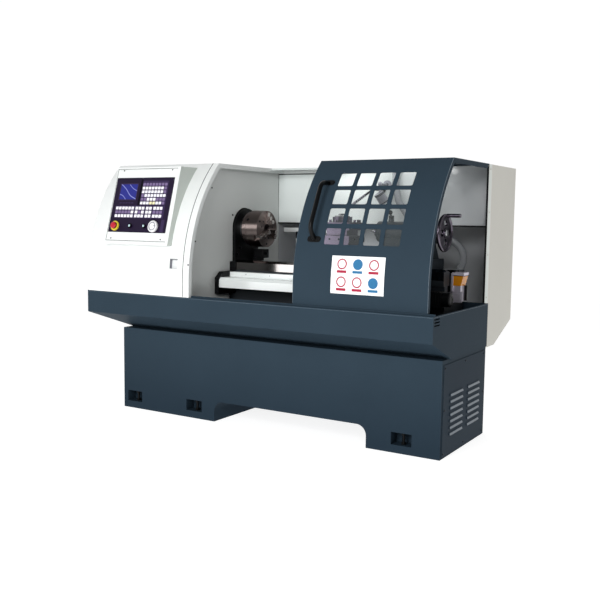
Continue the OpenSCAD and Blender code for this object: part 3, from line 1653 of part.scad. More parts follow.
stand();
stand_end_cover();
levelling_bolts();
chip_tray();
headstock_cover();
bulkhead();
end_door();
control_box();
control_panel();
display_screen();
estop_button();
start_button();
hold_button();
jog_dial();
rear_guard();
electrical_cabinet();
cabinet_door();
bed();
headstock();
spindle_bearings();
spindle();
spindle_pulley();
chuck_back_plate();
chuck_body();
scroll_plate();
chuck_jaw_1();
chuck_jaw_2();
chuck_jaw_3();
chuck_pinion_1();
chuck_pinion_2();
chuck_pinion_3();
main_motor();
motor_pulley();
drive_belt();
screw_guard();
screw_bearing_block();
z_motor_bracket();
z_servo_motor();
z_ballscrew();
carriage();
x_ballscrew();
x_servo_motor();
cross_slide();
turret_base();
turret_head();
tailstock();
quill();
quill_screw();
dead_centre();
tailstock_handwheel();
handwheel_peg();
quill_clamp_lever();
door();
window_pane();
door_handle();
lubricator();
oil_reservoir();
conduit();
work_lamp();
coolant_pipe();
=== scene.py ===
import math

import bmesh
import bpy
from mathutils import Matrix, Vector


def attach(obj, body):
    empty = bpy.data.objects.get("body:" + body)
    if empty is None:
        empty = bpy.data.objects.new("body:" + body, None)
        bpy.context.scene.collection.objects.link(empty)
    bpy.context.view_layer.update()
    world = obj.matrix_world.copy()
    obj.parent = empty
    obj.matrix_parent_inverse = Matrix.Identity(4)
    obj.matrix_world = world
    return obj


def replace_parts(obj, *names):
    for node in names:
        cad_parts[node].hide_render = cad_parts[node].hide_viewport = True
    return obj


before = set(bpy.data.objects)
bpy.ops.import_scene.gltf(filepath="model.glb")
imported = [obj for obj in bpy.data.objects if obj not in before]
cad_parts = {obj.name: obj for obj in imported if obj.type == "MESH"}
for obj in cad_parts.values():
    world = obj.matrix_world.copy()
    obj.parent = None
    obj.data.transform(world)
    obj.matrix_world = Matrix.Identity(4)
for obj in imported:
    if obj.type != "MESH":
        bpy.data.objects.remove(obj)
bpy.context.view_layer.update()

bl_info = {
    "name": "Enclosed lathe dressing",
    "version": (1, 0, 0),
    "blender": (4, 5, 0),
    "location": "View3D > Sidebar > Lathe",
    "description": "Finishes and small parts for a lathe in a sheet-metal enclosure",
    "category": "Object",
}

# Sizes of the solids that the small parts sit on, in metres
FRONT_Y = -0.702
TRAY_TOP = 0.787
BEND_Z = 0.880
ROOF_Z = 1.600
HOOD_R = 1.014
DOOR_OFF = 0.026
COVER_OFF = 0.0
PANE_IN = 0.007
PANEL_ORIGIN = Vector((-1.030, FRONT_Y - 0.020, 1.092))
PANEL_TILT = math.radians(15.6)
ROOF_ANGLE = math.asin((ROOF_Z - BEND_Z) / HOOD_R)
ROOF_ARC = ROOF_ANGLE * HOOD_R
ALONG_X, ALONG_Y, ALONG_Z = Vector((1, 0, 0)), Vector((0, 1, 0)), Vector((0, 0, 1))

# The same in millimetres: X, depth behind the tray's front face, or height
SPINDLE_DEPTH, SPINDLE_Z = 640, 1195
CHUCK_FACE_X, CHUCK_BACK_X = -233, -356
NOSE_X = -390
WALL_X = -409
TURRET_X, TURRET_DEPTH = 420, 465
SPLASH_DEPTH = 1049.2
BACK_DEPTH = 1428

# How far the chuck is turned at rest, in degrees
CHUCK_TURN = -61

# Height of the buttons on the control panel's face and rise of their lenses, in millimetres
BUTTON_Y, LENS_RISE = 118, 13.9

# Where one solid changes its finish, in metres; some of them start a painted highlight, others painted shade
LOUVRE_HIGHLIGHT_X, BOX_SHADE_X = 1.1895, -0.5135
# Below WAY_SHADE_Z the ways' face keeps the dark casting finish as painted shade
WAY_SHADE_Z, WAY_END_X = 0.9325, 1.0592
GUARD_IN_X, PALE_STRIP_X = 1.1495, 1.1525
PANEL_BACK_Y, GUARD_BACK_Y = 0.36, 0.7245
GUARD_FLOOR_Z, PANEL_FOOT_Z, LEDGE_Z = 0.64, 1.2345, 1.5985


def spot(x, depth, z):
    """A point from X, the depth behind the chip tray's front face and the height, in millimetres."""
    return Vector((x / 1000, FRONT_Y + depth / 1000, z / 1000))


SPINDLE = spot(0, SPINDLE_DEPTH, SPINDLE_Z)


def round_spindle(x, reach, angle):
    """A point at X and a distance from the spindle's axis, in millimetres; the angle starts downwards."""
    a = math.radians(angle)
    return spot(x, SPINDLE_DEPTH + reach * math.sin(a), SPINDLE_Z - reach * math.cos(a))


def linear(code, factor=1.0):
    """An sRGB hex colour as linear RGBA, optionally brightened."""
    parts = [int(code[i:i + 2], 16) / 255 for i in (1, 3, 5)]
    parts = [c / 12.92 if c <= 0.04045 else ((c + 0.055) / 1.055) ** 2.4 for c in parts]
    return tuple(min(1.0, c * factor) for c in parts) + (1.0,)


def put(tree, kind, inputs=None, **settings):
    """Adds a node with its settings; inputs maps a socket to a value or to another node's output."""
    node = tree.nodes.new(kind)
    for key, value in settings.items():
        setattr(node, key, value)
    for key, value in (inputs or {}).items():
        if isinstance(value, bpy.types.NodeSocket):
            tree.links.new(value, node.inputs[key])
        else:
            node.inputs[key].default_value = value
    return node


def new_material(name):
    """An empty node material: the material, its tree and the object's own coordinates."""
    mat = bpy.data.materials.new(name)
    mat.use_nodes = True
    mat.node_tree.nodes.clear()
    return mat, mat.node_tree, put(mat.node_tree, "ShaderNodeTexCoord").outputs["Object"]


def skin_into(tree, coord, code, roughness, metal=0.0, grain_mm=3.0, along=None, patch_mm=350.0,
              tone=0.05, relief_mm=0.05, spec=0.5, coat=0.0, alpha=1.0, glow=0.0, streak=0.0):
    """One finish in a tree: slow patches of tone, and a fine grain in gloss and relief.

    along stretches the grain into lines on an axis, or into rings round the spindle; streak draws the shine
    out across rings that the tool has left round X.
    """
    place = coord
    if along == "ring":
        moved = put(tree, "ShaderNodeMapping", {"Vector": coord, "Location": (0, -SPINDLE.y, -SPINDLE.z)})
        axes = put(tree, "ShaderNodeSeparateXYZ", {"Vector": moved.outputs["Vector"]})
        flat = put(tree, "ShaderNodeCombineXYZ", {"Y": axes.outputs["Y"], "Z": axes.outputs["Z"]})
        reach = put(tree, "ShaderNodeVectorMath", {0: flat.outputs["Vector"]}, operation="LENGTH")
        place = put(tree, "ShaderNodeCombineXYZ", {
            "X": reach.outputs["Value"], "Y": axes.outputs["X"]}).outputs["Vector"]
    elif along:
        scale = [1.0, 1.0, 1.0]
        scale["XYZ".index(along)] = 1 / 60
        place = put(tree, "ShaderNodeMapping", {"Vector": coord, "Scale": scale}).outputs["Vector"]
    grain = put(tree, "ShaderNodeTexNoise", {"Vector": place, "Scale": 1000 / grain_mm, "Detail": 3.0})
    patch = put(tree, "ShaderNodeTexNoise", {"Vector": coord, "Scale": 1000 / patch_mm, "Detail": 4.0})
    shade = put(tree, "ShaderNodeMix", {
        "Factor": patch.outputs["Fac"], "A": linear(code, 1 - tone), "B": linear(code, 1 + tone)},
        data_type="RGBA")
    gloss = put(tree, "ShaderNodeMapRange", {
        "Value": grain.outputs["Fac"], "To Min": max(0.02, roughness - 0.07), "To Max": roughness + 0.07})
    bump = put(tree, "ShaderNodeBump", {
        "Height": grain.outputs["Fac"], "Strength": 0.5, "Distance": relief_mm / 1000})
    look = {"Base Color": shade.outputs["Result"], "Roughness": gloss.outputs["Result"], "Metallic": metal,
            "Normal": bump.outputs["Normal"], "Coat Weight": coat, "Coat Roughness": 0.1, "Alpha": alpha}
    if not metal:
        look["Specular IOR Level"] = spec
    if streak:
        rings = put(tree, "ShaderNodeTangent", direction_type="RADIAL", axis="X")
        look.update({"Anisotropic": streak, "Anisotropic Rotation": 0.25,
                     "Tangent": rings.outputs["Tangent"]})
    if glow:
        look["Emission Color"] = shade.outputs["Result"]
        look["Emission Strength"] = glow
    return put(tree, "ShaderNodeBsdfPrincipled", look).outputs["BSDF"]


def skin(name, code, roughness, **more):
    """A material of one finish."""
    mat, tree, coord = new_material(name)
    put(tree, "ShaderNodeOutputMaterial", {"Surface": skin_into(tree, coord, code, roughness, **more)})
    return mat


def zoned(name, ground, *zones):
    """A material of several finishes; each zone shows where all its (axis, comparison, limit) tests hold.

    The comparison RAMP takes two limits and lets the zone fade in from the first to the second.
    """
    mat, tree, coord = new_material(name)
    axes = put(tree, "ShaderNodeSeparateXYZ", {"Vector": coord})
    surface = skin_into(tree, coord, **ground)
    for tests, finish in zones:
        share = None
        for axis, kind, limit in tests:
            if kind == "RAMP":
                fade = put(tree, "ShaderNodeMapRange", {
                    "Value": axes.outputs[axis], "From Min": limit[0], "From Max": limit[1]})
                step = fade.outputs["Result"]
            else:
                step = put(tree, "ShaderNodeMath", {
                    0: axes.outputs[axis], 1: limit}, operation=kind).outputs["Value"]
            share = step if share is None else put(
                tree, "ShaderNodeMath", {0: share, 1: step}, operation="MULTIPLY").outputs["Value"]
        surface = put(tree, "ShaderNodeMixShader", {
            0: share, 1: surface, 2: skin_into(tree, coord, **finish)}).outputs["Shader"]
    put(tree, "ShaderNodeOutputMaterial", {"Surface": surface})
    return mat


def lit_screen(name, ground, mark):
    """Glowing display glass: a deep blue ground with soft traces across it."""
    mat, tree, coord = new_material(name)
    wave = put(tree, "ShaderNodeTexWave", {
        "Vector": coord, "Scale": 1 / 0.13, "Distortion": 5.0, "Detail": 1.0}, bands_direction="DIAGONAL")
    trace = put(tree, "ShaderNodeMapRange", {
        "Value": wave.outputs["Fac"], "From Min": 0.96, "From Max": 1.0, "To Min": 0.0, "To Max": 0.35})
    shade = put(tree, "ShaderNodeMix", {
        "Factor": trace.outputs["Result"], "A": linear(ground), "B": linear(mark)}, data_type="RGBA")
    glass = put(tree, "ShaderNodeBsdfPrincipled", {
        "Base Color": shade.outputs["Result"], "Roughness": 0.15, "Specular IOR Level": 0.3,
        "Emission Color": shade.outputs["Result"], "Emission Strength": 0.5})
    put(tree, "ShaderNodeOutputMaterial", {"Surface": glass.outputs["BSDF"]})
    return mat


FINISHES = {}


def small(name, code, roughness, grain_mm, patch_mm, tone, **more):
    """A material of one finish for small parts, whose grain and patches are fine."""
    return skin(name, code, roughness, grain_mm=grain_mm, patch_mm=patch_mm, tone=tone, **more)


def make_finishes(slate, white, cream):
    """All the finishes of the machine, named for what they are."""
    coat = {"roughness": 0.55, "tone": 0.1, "spec": 0.04}
    enamel = {"grain_mm": 4.0, "spec": 0.4}
    glossy = {"code": white, "roughness": 0.3, "tone": 0.012, "coat": 0.2, **enamel}
    cream_coat = {"code": cream, "roughness": 0.36, "tone": 0.04, "spec": 0.35}
    casting = {"grain_mm": 2.5, "relief_mm": 0.3}
    steel = {"metal": 1.0, "grain_mm": 1.2}
    inside = [("X", "LESS_THAN", GUARD_IN_X)]
    splash = inside + [("Y", "LESS_THAN", PANEL_BACK_Y), ("Z", "GREATER_THAN", PANEL_FOOT_Z)]
    behind = inside + [("Y", "LESS_THAN", GUARD_BACK_Y), ("Z", "LESS_THAN", PANEL_FOOT_Z),
                       ("Z", "GREATER_THAN", GUARD_FLOOR_Z)]
    # Tool marks, mould grain and sand grit are finer on the real parts: they are drawn as coarse as they
    # need to show
    FINISHES.update({
        # Powder coat: no brush marks, a fine skin and a broad soft shine
        "slate": skin("slate powder coat", slate, **coat),
        "stand": zoned("slate powder coat, duller near the floor", {"code": slate, **coat},
                       ([("Z", "RAMP", (0.45, 0.05))],
                        {"code": "#25323d", "roughness": 0.6, "tone": 0.1, "spec": 0.03})),
        # The louvres' lips get a lighter, glossier slate: painted highlight where they catch the light
        "louvres": zoned("dark slate powder coat, bright on the louvres' lips", {"code": "#2b3742", **coat},
                         ([("X", "GREATER_THAN", LOUVRE_HIGHLIGHT_X)],
                          {"code": "#717d88", "roughness": 0.3, "tone": 0.1, "spec": 0.5})),
        # Lighter slate for the door's edges and the tray's fold: painted highlight along the folds
        "slate_highlight": skin("slate powder coat with painted highlight on a fold", "#51626f", 0.34, tone=0.1, spec=0.5),
        # Stoved enamel: smoother, with a clean bright gloss
        "white": skin("white stoved enamel", **glossy),
        # The control box's right cheek gets a greyer enamel: painted shade on the side turned from the light
        "box": zoned("white stoved enamel on the control box", glossy,
                     ([("X", "GREATER_THAN", BOX_SHADE_X)],
                      {"code": "#c3cac4", "roughness": 0.36, "grain_mm": 4.0, "tone": 0.03, "spec": 0.3})),
        "guard_white": skin("white gloss enamel", "#eff4f3", 0.25, grain_mm=4.0, tone=0.01, spec=0.5,
                            coat=0.3),
        "wall": skin("grey stoved enamel", "#dadddb", 0.36, tone=0.05, **enamel),
        # Cream outside, glossy white on the splash panel, plain zinc-grey behind it, greyer towards the
        # panel's right end as painted shade from the door's roof and wavy there, a paler strip at the front
        # edge
        "guard": zoned("cream stoved enamel", cream_coat,
                       (splash, {"code": "#e4ebe9", "roughness": 0.22, "tone": 0.02, "coat": 0.3}),
                       (behind, {"code": "#c3c6ca", "roughness": 0.4, "tone": 0.08, "spec": 0.3}),
                       # Greyer towards the panel's right end: painted shade from the door's roof; the wavy
                       # relief is the sheet's own
                       (splash + [("X", "RAMP", (0.3, 0.95)), ("Z", "LESS_THAN", LEDGE_Z)],
                        {"code": "#b9bdbf", "roughness": 0.2, "grain_mm": 160.0, "relief_mm": 6.0,
                         "tone": 0.05, "coat": 0.5}),
                       ([("X", "GREATER_THAN", PALE_STRIP_X)],
                        {"code": "#e6eae4", "roughness": 0.3, "tone": 0.02, "spec": 0.4})),
        "cream": skin("cream stoved enamel on the cabinet", **cream_coat),
        # Castings: sand grit under the paint
        "black_iron": skin("black painted cast iron", "#08090b", 0.45, patch_mm=80, tone=0.3, spec=0.15,
                           **casting),
        "slate_iron": skin("slate painted cast iron", "#222b33", 0.42, patch_mm=80, tone=0.25, spec=0.35,
                           **casting),
        "motor": small("cast aluminium", "#7d8185", 0.5, 2.0, 60, 0.15, relief_mm=0.2),
        "lilac": small("die-cast pump alloy", "#cdc8d4", 0.4, 1.5, 40, 0.15, metal=0.5, relief_mm=0.1),
        # Painted casting below, ground ways above, with lines along the bed; the ways' lowest strip stays
        # dark as painted shade
        "bed": zoned("cast iron bed with ground ways",
                     {"code": "#1d2227", "roughness": 0.5, "tone": 0.2, "spec": 0.3, **casting},
                     ([("Z", "GREATER_THAN", WAY_SHADE_Z), ("X", "LESS_THAN", WAY_END_X)],
                      {"code": "#63605f", "roughness": 0.1, "along": "X", "relief_mm": 0.004,
                       "patch_mm": 120, "tone": 0.2, **steel})),
        # Cut steel: fine lines along the cutter's path
        "ground_x": skin("ground steel along the bed", "#b8bbbe", 0.28, along="X", tone=0.12, **steel),
        "milled_y": skin("milled steel across the bed", "#8c8790", 0.32, along="Y", tone=0.12, **steel),
        "turret": small("phosphated tool steel", "#776d80", 0.34, 1.0, 50, 0.18, metal=1.0, along="X"),
        "jaw": small("hardened jaw steel", "#b3aba8", 0.24, 0.8, 40, 0.15, metal=1.0, along="X"),
        # Turned steel: rings of tool marks, brown with oil
        "chuck": small("oiled chuck steel", "#7d726f", 0.39, 1.5, 60, 0.2, metal=1.0, along="ring",
                       relief_mm=0.01, streak=1.0),
        "spindle": skin("turned spindle steel", "#b4b6b8", 0.26, along="ring", tone=0.1, **steel),
        "wheel": small("burnished handwheel steel", "#6b6470", 0.2, 2.0, 50, 0.2, metal=1.0, along="ring"),
        "bolt": small("blackened screw steel", "#2b2c30", 0.34, 0.6, 10, 0.2, metal=1.0),
        "zinc": small("zinc-plated screw steel", "#bfc2c6", 0.28, 0.6, 10, 0.15, metal=1.0),
        # Moulded and printed plastics: fine grain, even colour
        "panel": small("printed polyester film", "#1b0f2a", 0.4, 1.0, 60, 0.15, spec=0.25),
        "film_lilac": small("lilac printed film", "#35294a", 0.45, 1.0, 40, 0.15, spec=0.2),
        "key_white": small("white key film", "#f1eff6", 0.4, 0.8, 30, 0.04),
        "key_lilac": small("lilac key film", "#76658c", 0.4, 0.8, 30, 0.12),
        "key_cream": small("cream key film", "#efe6b8", 0.4, 0.8, 30, 0.05),
        "screen": lit_screen("lit display glass", "#23276f", "#b9c3ff"),
        "red": small("red ABS", "#b81f31", 0.3, 1.0, 30, 0.08),
        "yellow": small("yellow ABS", "#dcc53a", 0.35, 1.0, 30, 0.05),
        "cyan": small("pale cyan ABS", "#b9d6da", 0.3, 1.0, 20, 0.06),
        "white_abs": small("white ABS", "#f0f0f1", 0.28, 1.0, 40, 0.03),
        "grey_abs": small("grey ABS", "#8c8d96", 0.4, 1.0, 40, 0.08),
        "black": small("black phenolic", "#050607", 0.34, 1.0, 60, 0.2, spec=0.22),
        "rubber": small("black rubber", "#121315", 0.75, 0.6, 40, 0.15, spec=0.2),
        "hose": small("grey PVC hose", "#94979b", 0.22, 1.0, 60, 0.1),
        "amber": small("amber polycarbonate", "#d98a17", 0.14, 6.0, 30, 0.12, alpha=0.9),
        "window": small("clear polycarbonate", "#c9d3d4", 0.06, 30.0, 200, 0.05, alpha=0.04),
        "lens": small("frosted lamp glass", "#f4f1e4", 0.3, 1.0, 20, 0.04, glow=0.6),
        # Screen inks on lacquer
        "plate": skin("white lacquered plate", "#f7f9fa", 0.3, tone=0.01, **enamel),
        "ink_red": small("red screen ink", "#a82440", 0.45, 0.6, 20, 0.08, spec=0.2),
        "ink_blue": small("blue screen ink", "#2a6f9c", 0.45, 0.6, 20, 0.08, spec=0.2),
        # Joints between sheets, and painted shadow under the ledge, by the wall and in the finger pull: a
        # soft dark line
        "seam": small("joint sealant and painted shadow", "#3f4344", 0.75, 1.0, 50, 0.1, spec=0.1),
    })


# Solids by the finish they have
FINISH_NODES = {
    "stand": ("stand",), "louvres": ("stand_end_cover",),
    "black_iron": ("levelling_bolts", "headstock", "screw_bearing_block", "z_motor_bracket",
                   "z_servo_motor"),
    "slate": ("chip_tray", "door"), "white": ("headstock_cover", "end_door"), "wall": ("bulkhead",),
    "box": ("control_box",), "panel": ("control_panel",), "screen": ("display_screen",),
    "red": ("estop_button",),
    "black": ("start_button", "hold_button", "x_servo_motor", "quill_clamp_lever", "door_handle"),
    "white_abs": ("jog_dial",), "guard": ("rear_guard",), "cream": ("electrical_cabinet", "cabinet_door"),
    "bed": ("bed",), "spindle": ("spindle_bearings", "spindle", "quill", "quill_screw", "dead_centre"),
    "motor": ("spindle_pulley", "main_motor", "motor_pulley"),
    "chuck": ("chuck_back_plate", "chuck_body", "scroll_plate"),
    "jaw": ("chuck_jaw_1", "chuck_jaw_2", "chuck_jaw_3"),
    "bolt": ("chuck_pinion_1", "chuck_pinion_2", "chuck_pinion_3", "coolant_pipe"),
    "rubber": ("drive_belt",), "guard_white": ("screw_guard",), "ground_x": ("z_ballscrew",),
    "slate_iron": ("carriage", "tailstock"), "milled_y": ("x_ballscrew", "cross_slide"),
    "turret": ("turret_base", "turret_head"), "wheel": ("tailstock_handwheel", "handwheel_peg"),
    "window": ("window_pane",), "lilac": ("lubricator",), "amber": ("oil_reservoir",), "hose": ("conduit",),
    "grey_abs": ("work_lamp",),
}

# Solids whose edges are rounded for the eye, in metres
EDGE_ROUND = {
    "stand": 0.004, "chip_tray": 0.0015, "turret_head": 0.0015, "turret_base": 0.002, "cross_slide": 0.0015,
    "carriage": 0.002, "tailstock": 0.003, "z_servo_motor": 0.003, "x_servo_motor": 0.003,
    "screw_bearing_block": 0.002, "z_motor_bracket": 0.002, "lubricator": 0.002, "oil_reservoir": 0.003,
    "chuck_body": 0.002, "chuck_jaw_1": 0.001, "chuck_jaw_2": 0.001, "chuck_jaw_3": 0.001, "headstock": 0.003,
    "control_box": 0.0025,
}


def axis_frame(origin, axis):
    """A frame at a point whose local Z runs along an axis."""
    return Matrix.Translation(origin) @ Vector(axis).to_track_quat("Z", "Y").to_matrix().to_4x4()


def at(x, depth, z, axis):
    """A frame at a spot in millimetres whose local Z runs along an axis."""
    return axis_frame(spot(x, depth, z), axis)


def panel_frame(x=0.0, y=0.0, z=0.0):
    """Frame on the control box's face at millimetre coordinates, local Z pointing out."""
    up = Vector((0, math.sin(PANEL_TILT), math.cos(PANEL_TILT)))
    out = Vector((0, -math.cos(PANEL_TILT), math.sin(PANEL_TILT)))
    turn = Matrix((ALONG_X, up, out)).transposed().to_4x4()
    return Matrix.Translation(PANEL_ORIGIN) @ turn @ Matrix.Translation((x / 1000, y / 1000, z / 1000))


def hood_point(off, arc, out=0.0):
    """Y and Z on the curved front at an arc length above the bend, set out by a distance."""
    if arc < 0:
        return FRONT_Y + off - out, BEND_Z + arc
    if arc > ROOF_ARC:
        return FRONT_Y + off + HOOD_R * (1 - math.cos(ROOF_ANGLE)) + arc - ROOF_ARC, ROOF_Z + out
    angle, reach = arc / HOOD_R, HOOD_R + out
    return FRONT_Y + off + HOOD_R - reach * math.cos(angle), BEND_Z + reach * math.sin(angle)


def hood_frame(off, x, arc, out=0.0):
    """Frame on the curved front, local Z pointing out."""
    angle = max(0.0, min(ROOF_ANGLE, arc / HOOD_R))
    axis = Vector((0, -math.cos(angle), math.sin(angle)))
    return axis_frame(Vector((x, *hood_point(off, arc, out))), axis)


def spread(first, last, count):
    """Evenly spaced values, both ends included."""
    return [first + (last - first) * k / (count - 1) for k in range(count)]


def rounded(w, h, r, mid=(0.0, 0.0), steps=4):
    """Points of a rectangle with round corners."""
    points = []
    for cx, cy, start in ((w / 2 - r, h / 2 - r, 0), (r - w / 2, h / 2 - r, 90),
                          (r - w / 2, r - h / 2, 180), (w / 2 - r, r - h / 2, 270)):
        for k in range(steps + 1):
            a = math.radians(start + 90 * k / steps)
            points.append((mid[0] + cx + r * math.cos(a), mid[1] + cy + r * math.sin(a)))
    return points


def ring_points(r, count, mid=(0.0, 0.0)):
    """Points of a circle."""
    return [(mid[0] + r * math.cos(2 * math.pi * k / count), mid[1] + r * math.sin(2 * math.pi * k / count))
            for k in range(count)]


def loft_into(bm, rows, closed=True, capped=True):
    """Joins rows of points into a skin; closed joins each row's ends, capped fills the first and last row."""
    rings = [[bm.verts.new(p) for p in row] for row in rows]
    count = len(rings[0])
    for a, b in zip(rings, rings[1:]):
        for k in range(count if closed else count - 1):
            n = (k + 1) % count
            bm.faces.new((a[k], a[n], b[n], b[k]))
    if capped:
        bm.faces.new(list(reversed(rings[0])))
        bm.faces.new(rings[-1])


def box_into(bm, low, high, matrix=None):
    """Adds a box between two corners, optionally in another frame."""
    mid = [(a + b) / 2 for a, b in zip(low, high)]
    size = [abs(b - a) for a, b in zip(low, high)]
    place = (matrix or Matrix()) @ Matrix.Translation(mid) @ Matrix.Diagonal((*size, 1))
    bmesh.ops.create_cube(bm, size=1, matrix=place)


def blocks_into(bm, *blocks):
    """Adds boxes, each from its low and its high X, depth and height in millimetres."""
    for block in blocks:
        box_into(bm, spot(*block[:3]), spot(*block[3:]))


def plate_into(bm, outline, low, high, matrix):
    """Adds a flat plate of any outline in a local frame."""
    loft_into(bm, [[matrix @ Vector((x, y, h)) for x, y in outline] for h in (low, high)])


def hood_plate_into(bm, off, outline, low, high):
    """Adds a thin plate on the curved front from an outline of (X, arc) points."""
    loft_into(bm, [[(x, *hood_point(off, s, h)) for x, s in outline] for h in (low, high)])


def hood_band_into(bm, off, x0, x1, arcs, low, high):
    """Adds a band across the curved front along a row of arc lengths."""
    loft_into(bm, [[(x, *hood_point(off, s, h)) for x, h in ((x0, low), (x1, low), (x1, high), (x0, high))]
                   for s in arcs])


def turn_into(bm, profile, matrix, segments=24):
    """Revolves a profile of (radius, height) about local Z; it may start or end on the axis."""
    rings = []
    for r, h in profile:
        if r < 1e-7:
            rings.append([bm.verts.new(matrix @ Vector((0, 0, h)))])
        else:
            rings.append([bm.verts.new(matrix @ Vector((x, y, h))) for x, y in ring_points(r, segments)])
    for a, b in zip(rings, rings[1:]):
        for k in range(segments):
            n = (k + 1) % segments
            corners = list(dict.fromkeys((a[k % len(a)], a[n % len(a)], b[n % len(b)], b[k % len(b)])))
            if len(corners) > 2:
                bm.faces.new(corners)


def washer_into(bm, inner, outer, low, high, matrix, segments=40):
    """Adds a flat ring in a local frame."""
    turn_into(bm, [(inner, low), (outer, low), (outer, high), (inner, high), (inner, low)], matrix, segments)
    bmesh.ops.remove_doubles(bm, verts=bm.verts, dist=1e-7)


def tube_into(bm, points, radius, segments=12, swell=None):
    """Sweeps a round tube along points; swell gives a factor on the radius at each point."""
    points = [Vector(p) for p in points]
    last = len(points) - 1
    rows, side = [], None
    for i, p in enumerate(points):
        ahead = (points[min(i + 1, last)] - points[max(i - 1, 0)]).normalized()
        side = ahead.orthogonal() if side is None else side - ahead * side.dot(ahead)
        side.normalize()
        up = ahead.cross(side)
        r = radius * (swell[i] if swell else 1.0)
        rows.append([p + x * side + y * up for x, y in ring_points(r, segments)])
    loft_into(bm, rows)


def smooth_path(knots, reach, steps=7):
    """Points of a path whose corners are rounded."""
    knots = [Vector(k) for k in knots]
    path = [knots[0]]
    for a, p, b in zip(knots, knots[1:], knots[2:]):
        start = p + min(reach, (a - p).length / 2) * (a - p).normalized()
        end = p + min(reach, (b - p).length / 2) * (b - p).normalized()
        path += [(1 - t) ** 2 * start + 2 * t * (1 - t) * p + t * t * end for t in spread(0, 1, steps)]
    return path + [knots[-1]]


def screw_into(bm, matrix, r, h):
    """Adds a pan-head screw with a socket."""
    turn_into(bm, [(0, h * 0.4), (r * 0.45, h * 0.4), (r * 0.5, h), (r * 0.8, h), (r, h * 0.6), (r, 0)],
              matrix, 16)


def hex_into(bm, matrix, r, h):
    """Adds a hexagon head on a washer."""
    turn_into(bm, [(0, 0), (r * 1.35, 0), (r * 1.35, h * 0.2), (r, h * 0.2), (r, h * 0.9), (r * 0.85, h),
                   (0, h)], matrix, 6)


def heads_into(bm, head_into, xs, depths, zs, axis, r, h):
    """Adds a head wherever some X, depths and heights in millimetres meet."""
    for x in xs:
        for depth in depths:
            for z in zs:
                head_into(bm, at(x, depth, z, axis), r, h)


def louvre_into(bm, matrix, w, h, out):
    """Adds a pressed louvre: local X along its width, local Z out of the sheet."""
    rows = []
    for x, share in ((-w / 2, 0.02), (-w / 2 + out, 1.0), (w / 2 - out, 1.0), (w / 2, 0.02)):
        rows.append([matrix @ Vector((x, y, z)) for y, z in (
            (h / 2, 0), (h * 0.2, out * 0.75 * share), (-h / 2, out * share), (-h / 2, 0))])
    loft_into(bm, rows)


def piece(name, bm, look, body, edge=0.0):
    """Turns the mesh in work into a piece that rides on a body, and empties it for the next piece."""
    bmesh.ops.recalc_face_normals(bm, faces=bm.faces)
    mesh = bpy.data.meshes.new(name)
    bm.to_mesh(mesh)
    bm.clear()
    obj = bpy.data.objects.new(name, mesh)
    bpy.context.scene.collection.objects.link(obj)
    mesh.materials.append(FINISHES[look])
    mesh.shade_smooth()
    mesh.set_sharp_from_angle(angle=math.radians(35))
    if edge:
        round_edges(obj, edge)
    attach(obj, body)
    return obj


def round_edges(obj, width):
    """Rounds an object's sharp edges for the eye."""
    edge = obj.modifiers.new("edge", "BEVEL")
    edge.width = width
    edge.segments = 2
    edge.limit_method = "ANGLE"
    edge.angle_limit = math.radians(50)
    edge.use_clamp_overlap = True


class LatheColours(bpy.types.PropertyGroup):
    """Paint colours that a user would change."""
    slate: bpy.props.StringProperty(
        name="Slate", description="Door, tray and stand, as an sRGB hex value", default="#2d3b46")
    white: bpy.props.StringProperty(
        name="White", description="Headstock cover, as an sRGB hex value", default="#eaedec")
    cream: bpy.props.StringProperty(
        name="Cream", description="Rear guard and cabinet, as an sRGB hex value", default="#d8d6cc")


class LatheSizes(bpy.types.PropertyGroup):
    """Sizes of the small parts that a user would change."""
    plate_w: bpy.props.FloatProperty(
        name="Plate width", description="White plate on the door", default=0.317, unit="LENGTH")
    plate_h: bpy.props.FloatProperty(
        name="Plate height", description="White plate on the door", default=0.203, unit="LENGTH")
    key_rise: bpy.props.FloatProperty(
        name="Key rise", description="How far the key caps stand out", default=0.0012, unit="LENGTH")
    screw_r: bpy.props.FloatProperty(
        name="Screw head radius", description="Cover and guard screws", default=0.005, unit="LENGTH")


class LATHE_OT_finishes(bpy.types.Operator):
    """Makes the finishes and puts them on the solids"""
    bl_idname = "lathe.finishes"
    bl_label = "Finishes"

    def execute(self, context):
        tint = context.scene.lathe_colours
        make_finishes(tint.slate, tint.white, tint.cream)
        for look, names in FINISH_NODES.items():
            for name in names:
                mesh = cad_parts[name].data
                mesh.materials.clear()
                mesh.materials.append(FINISHES[look])
        for name, width in EDGE_ROUND.items():
            round_edges(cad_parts[name], width)
        return {"FINISHED"}


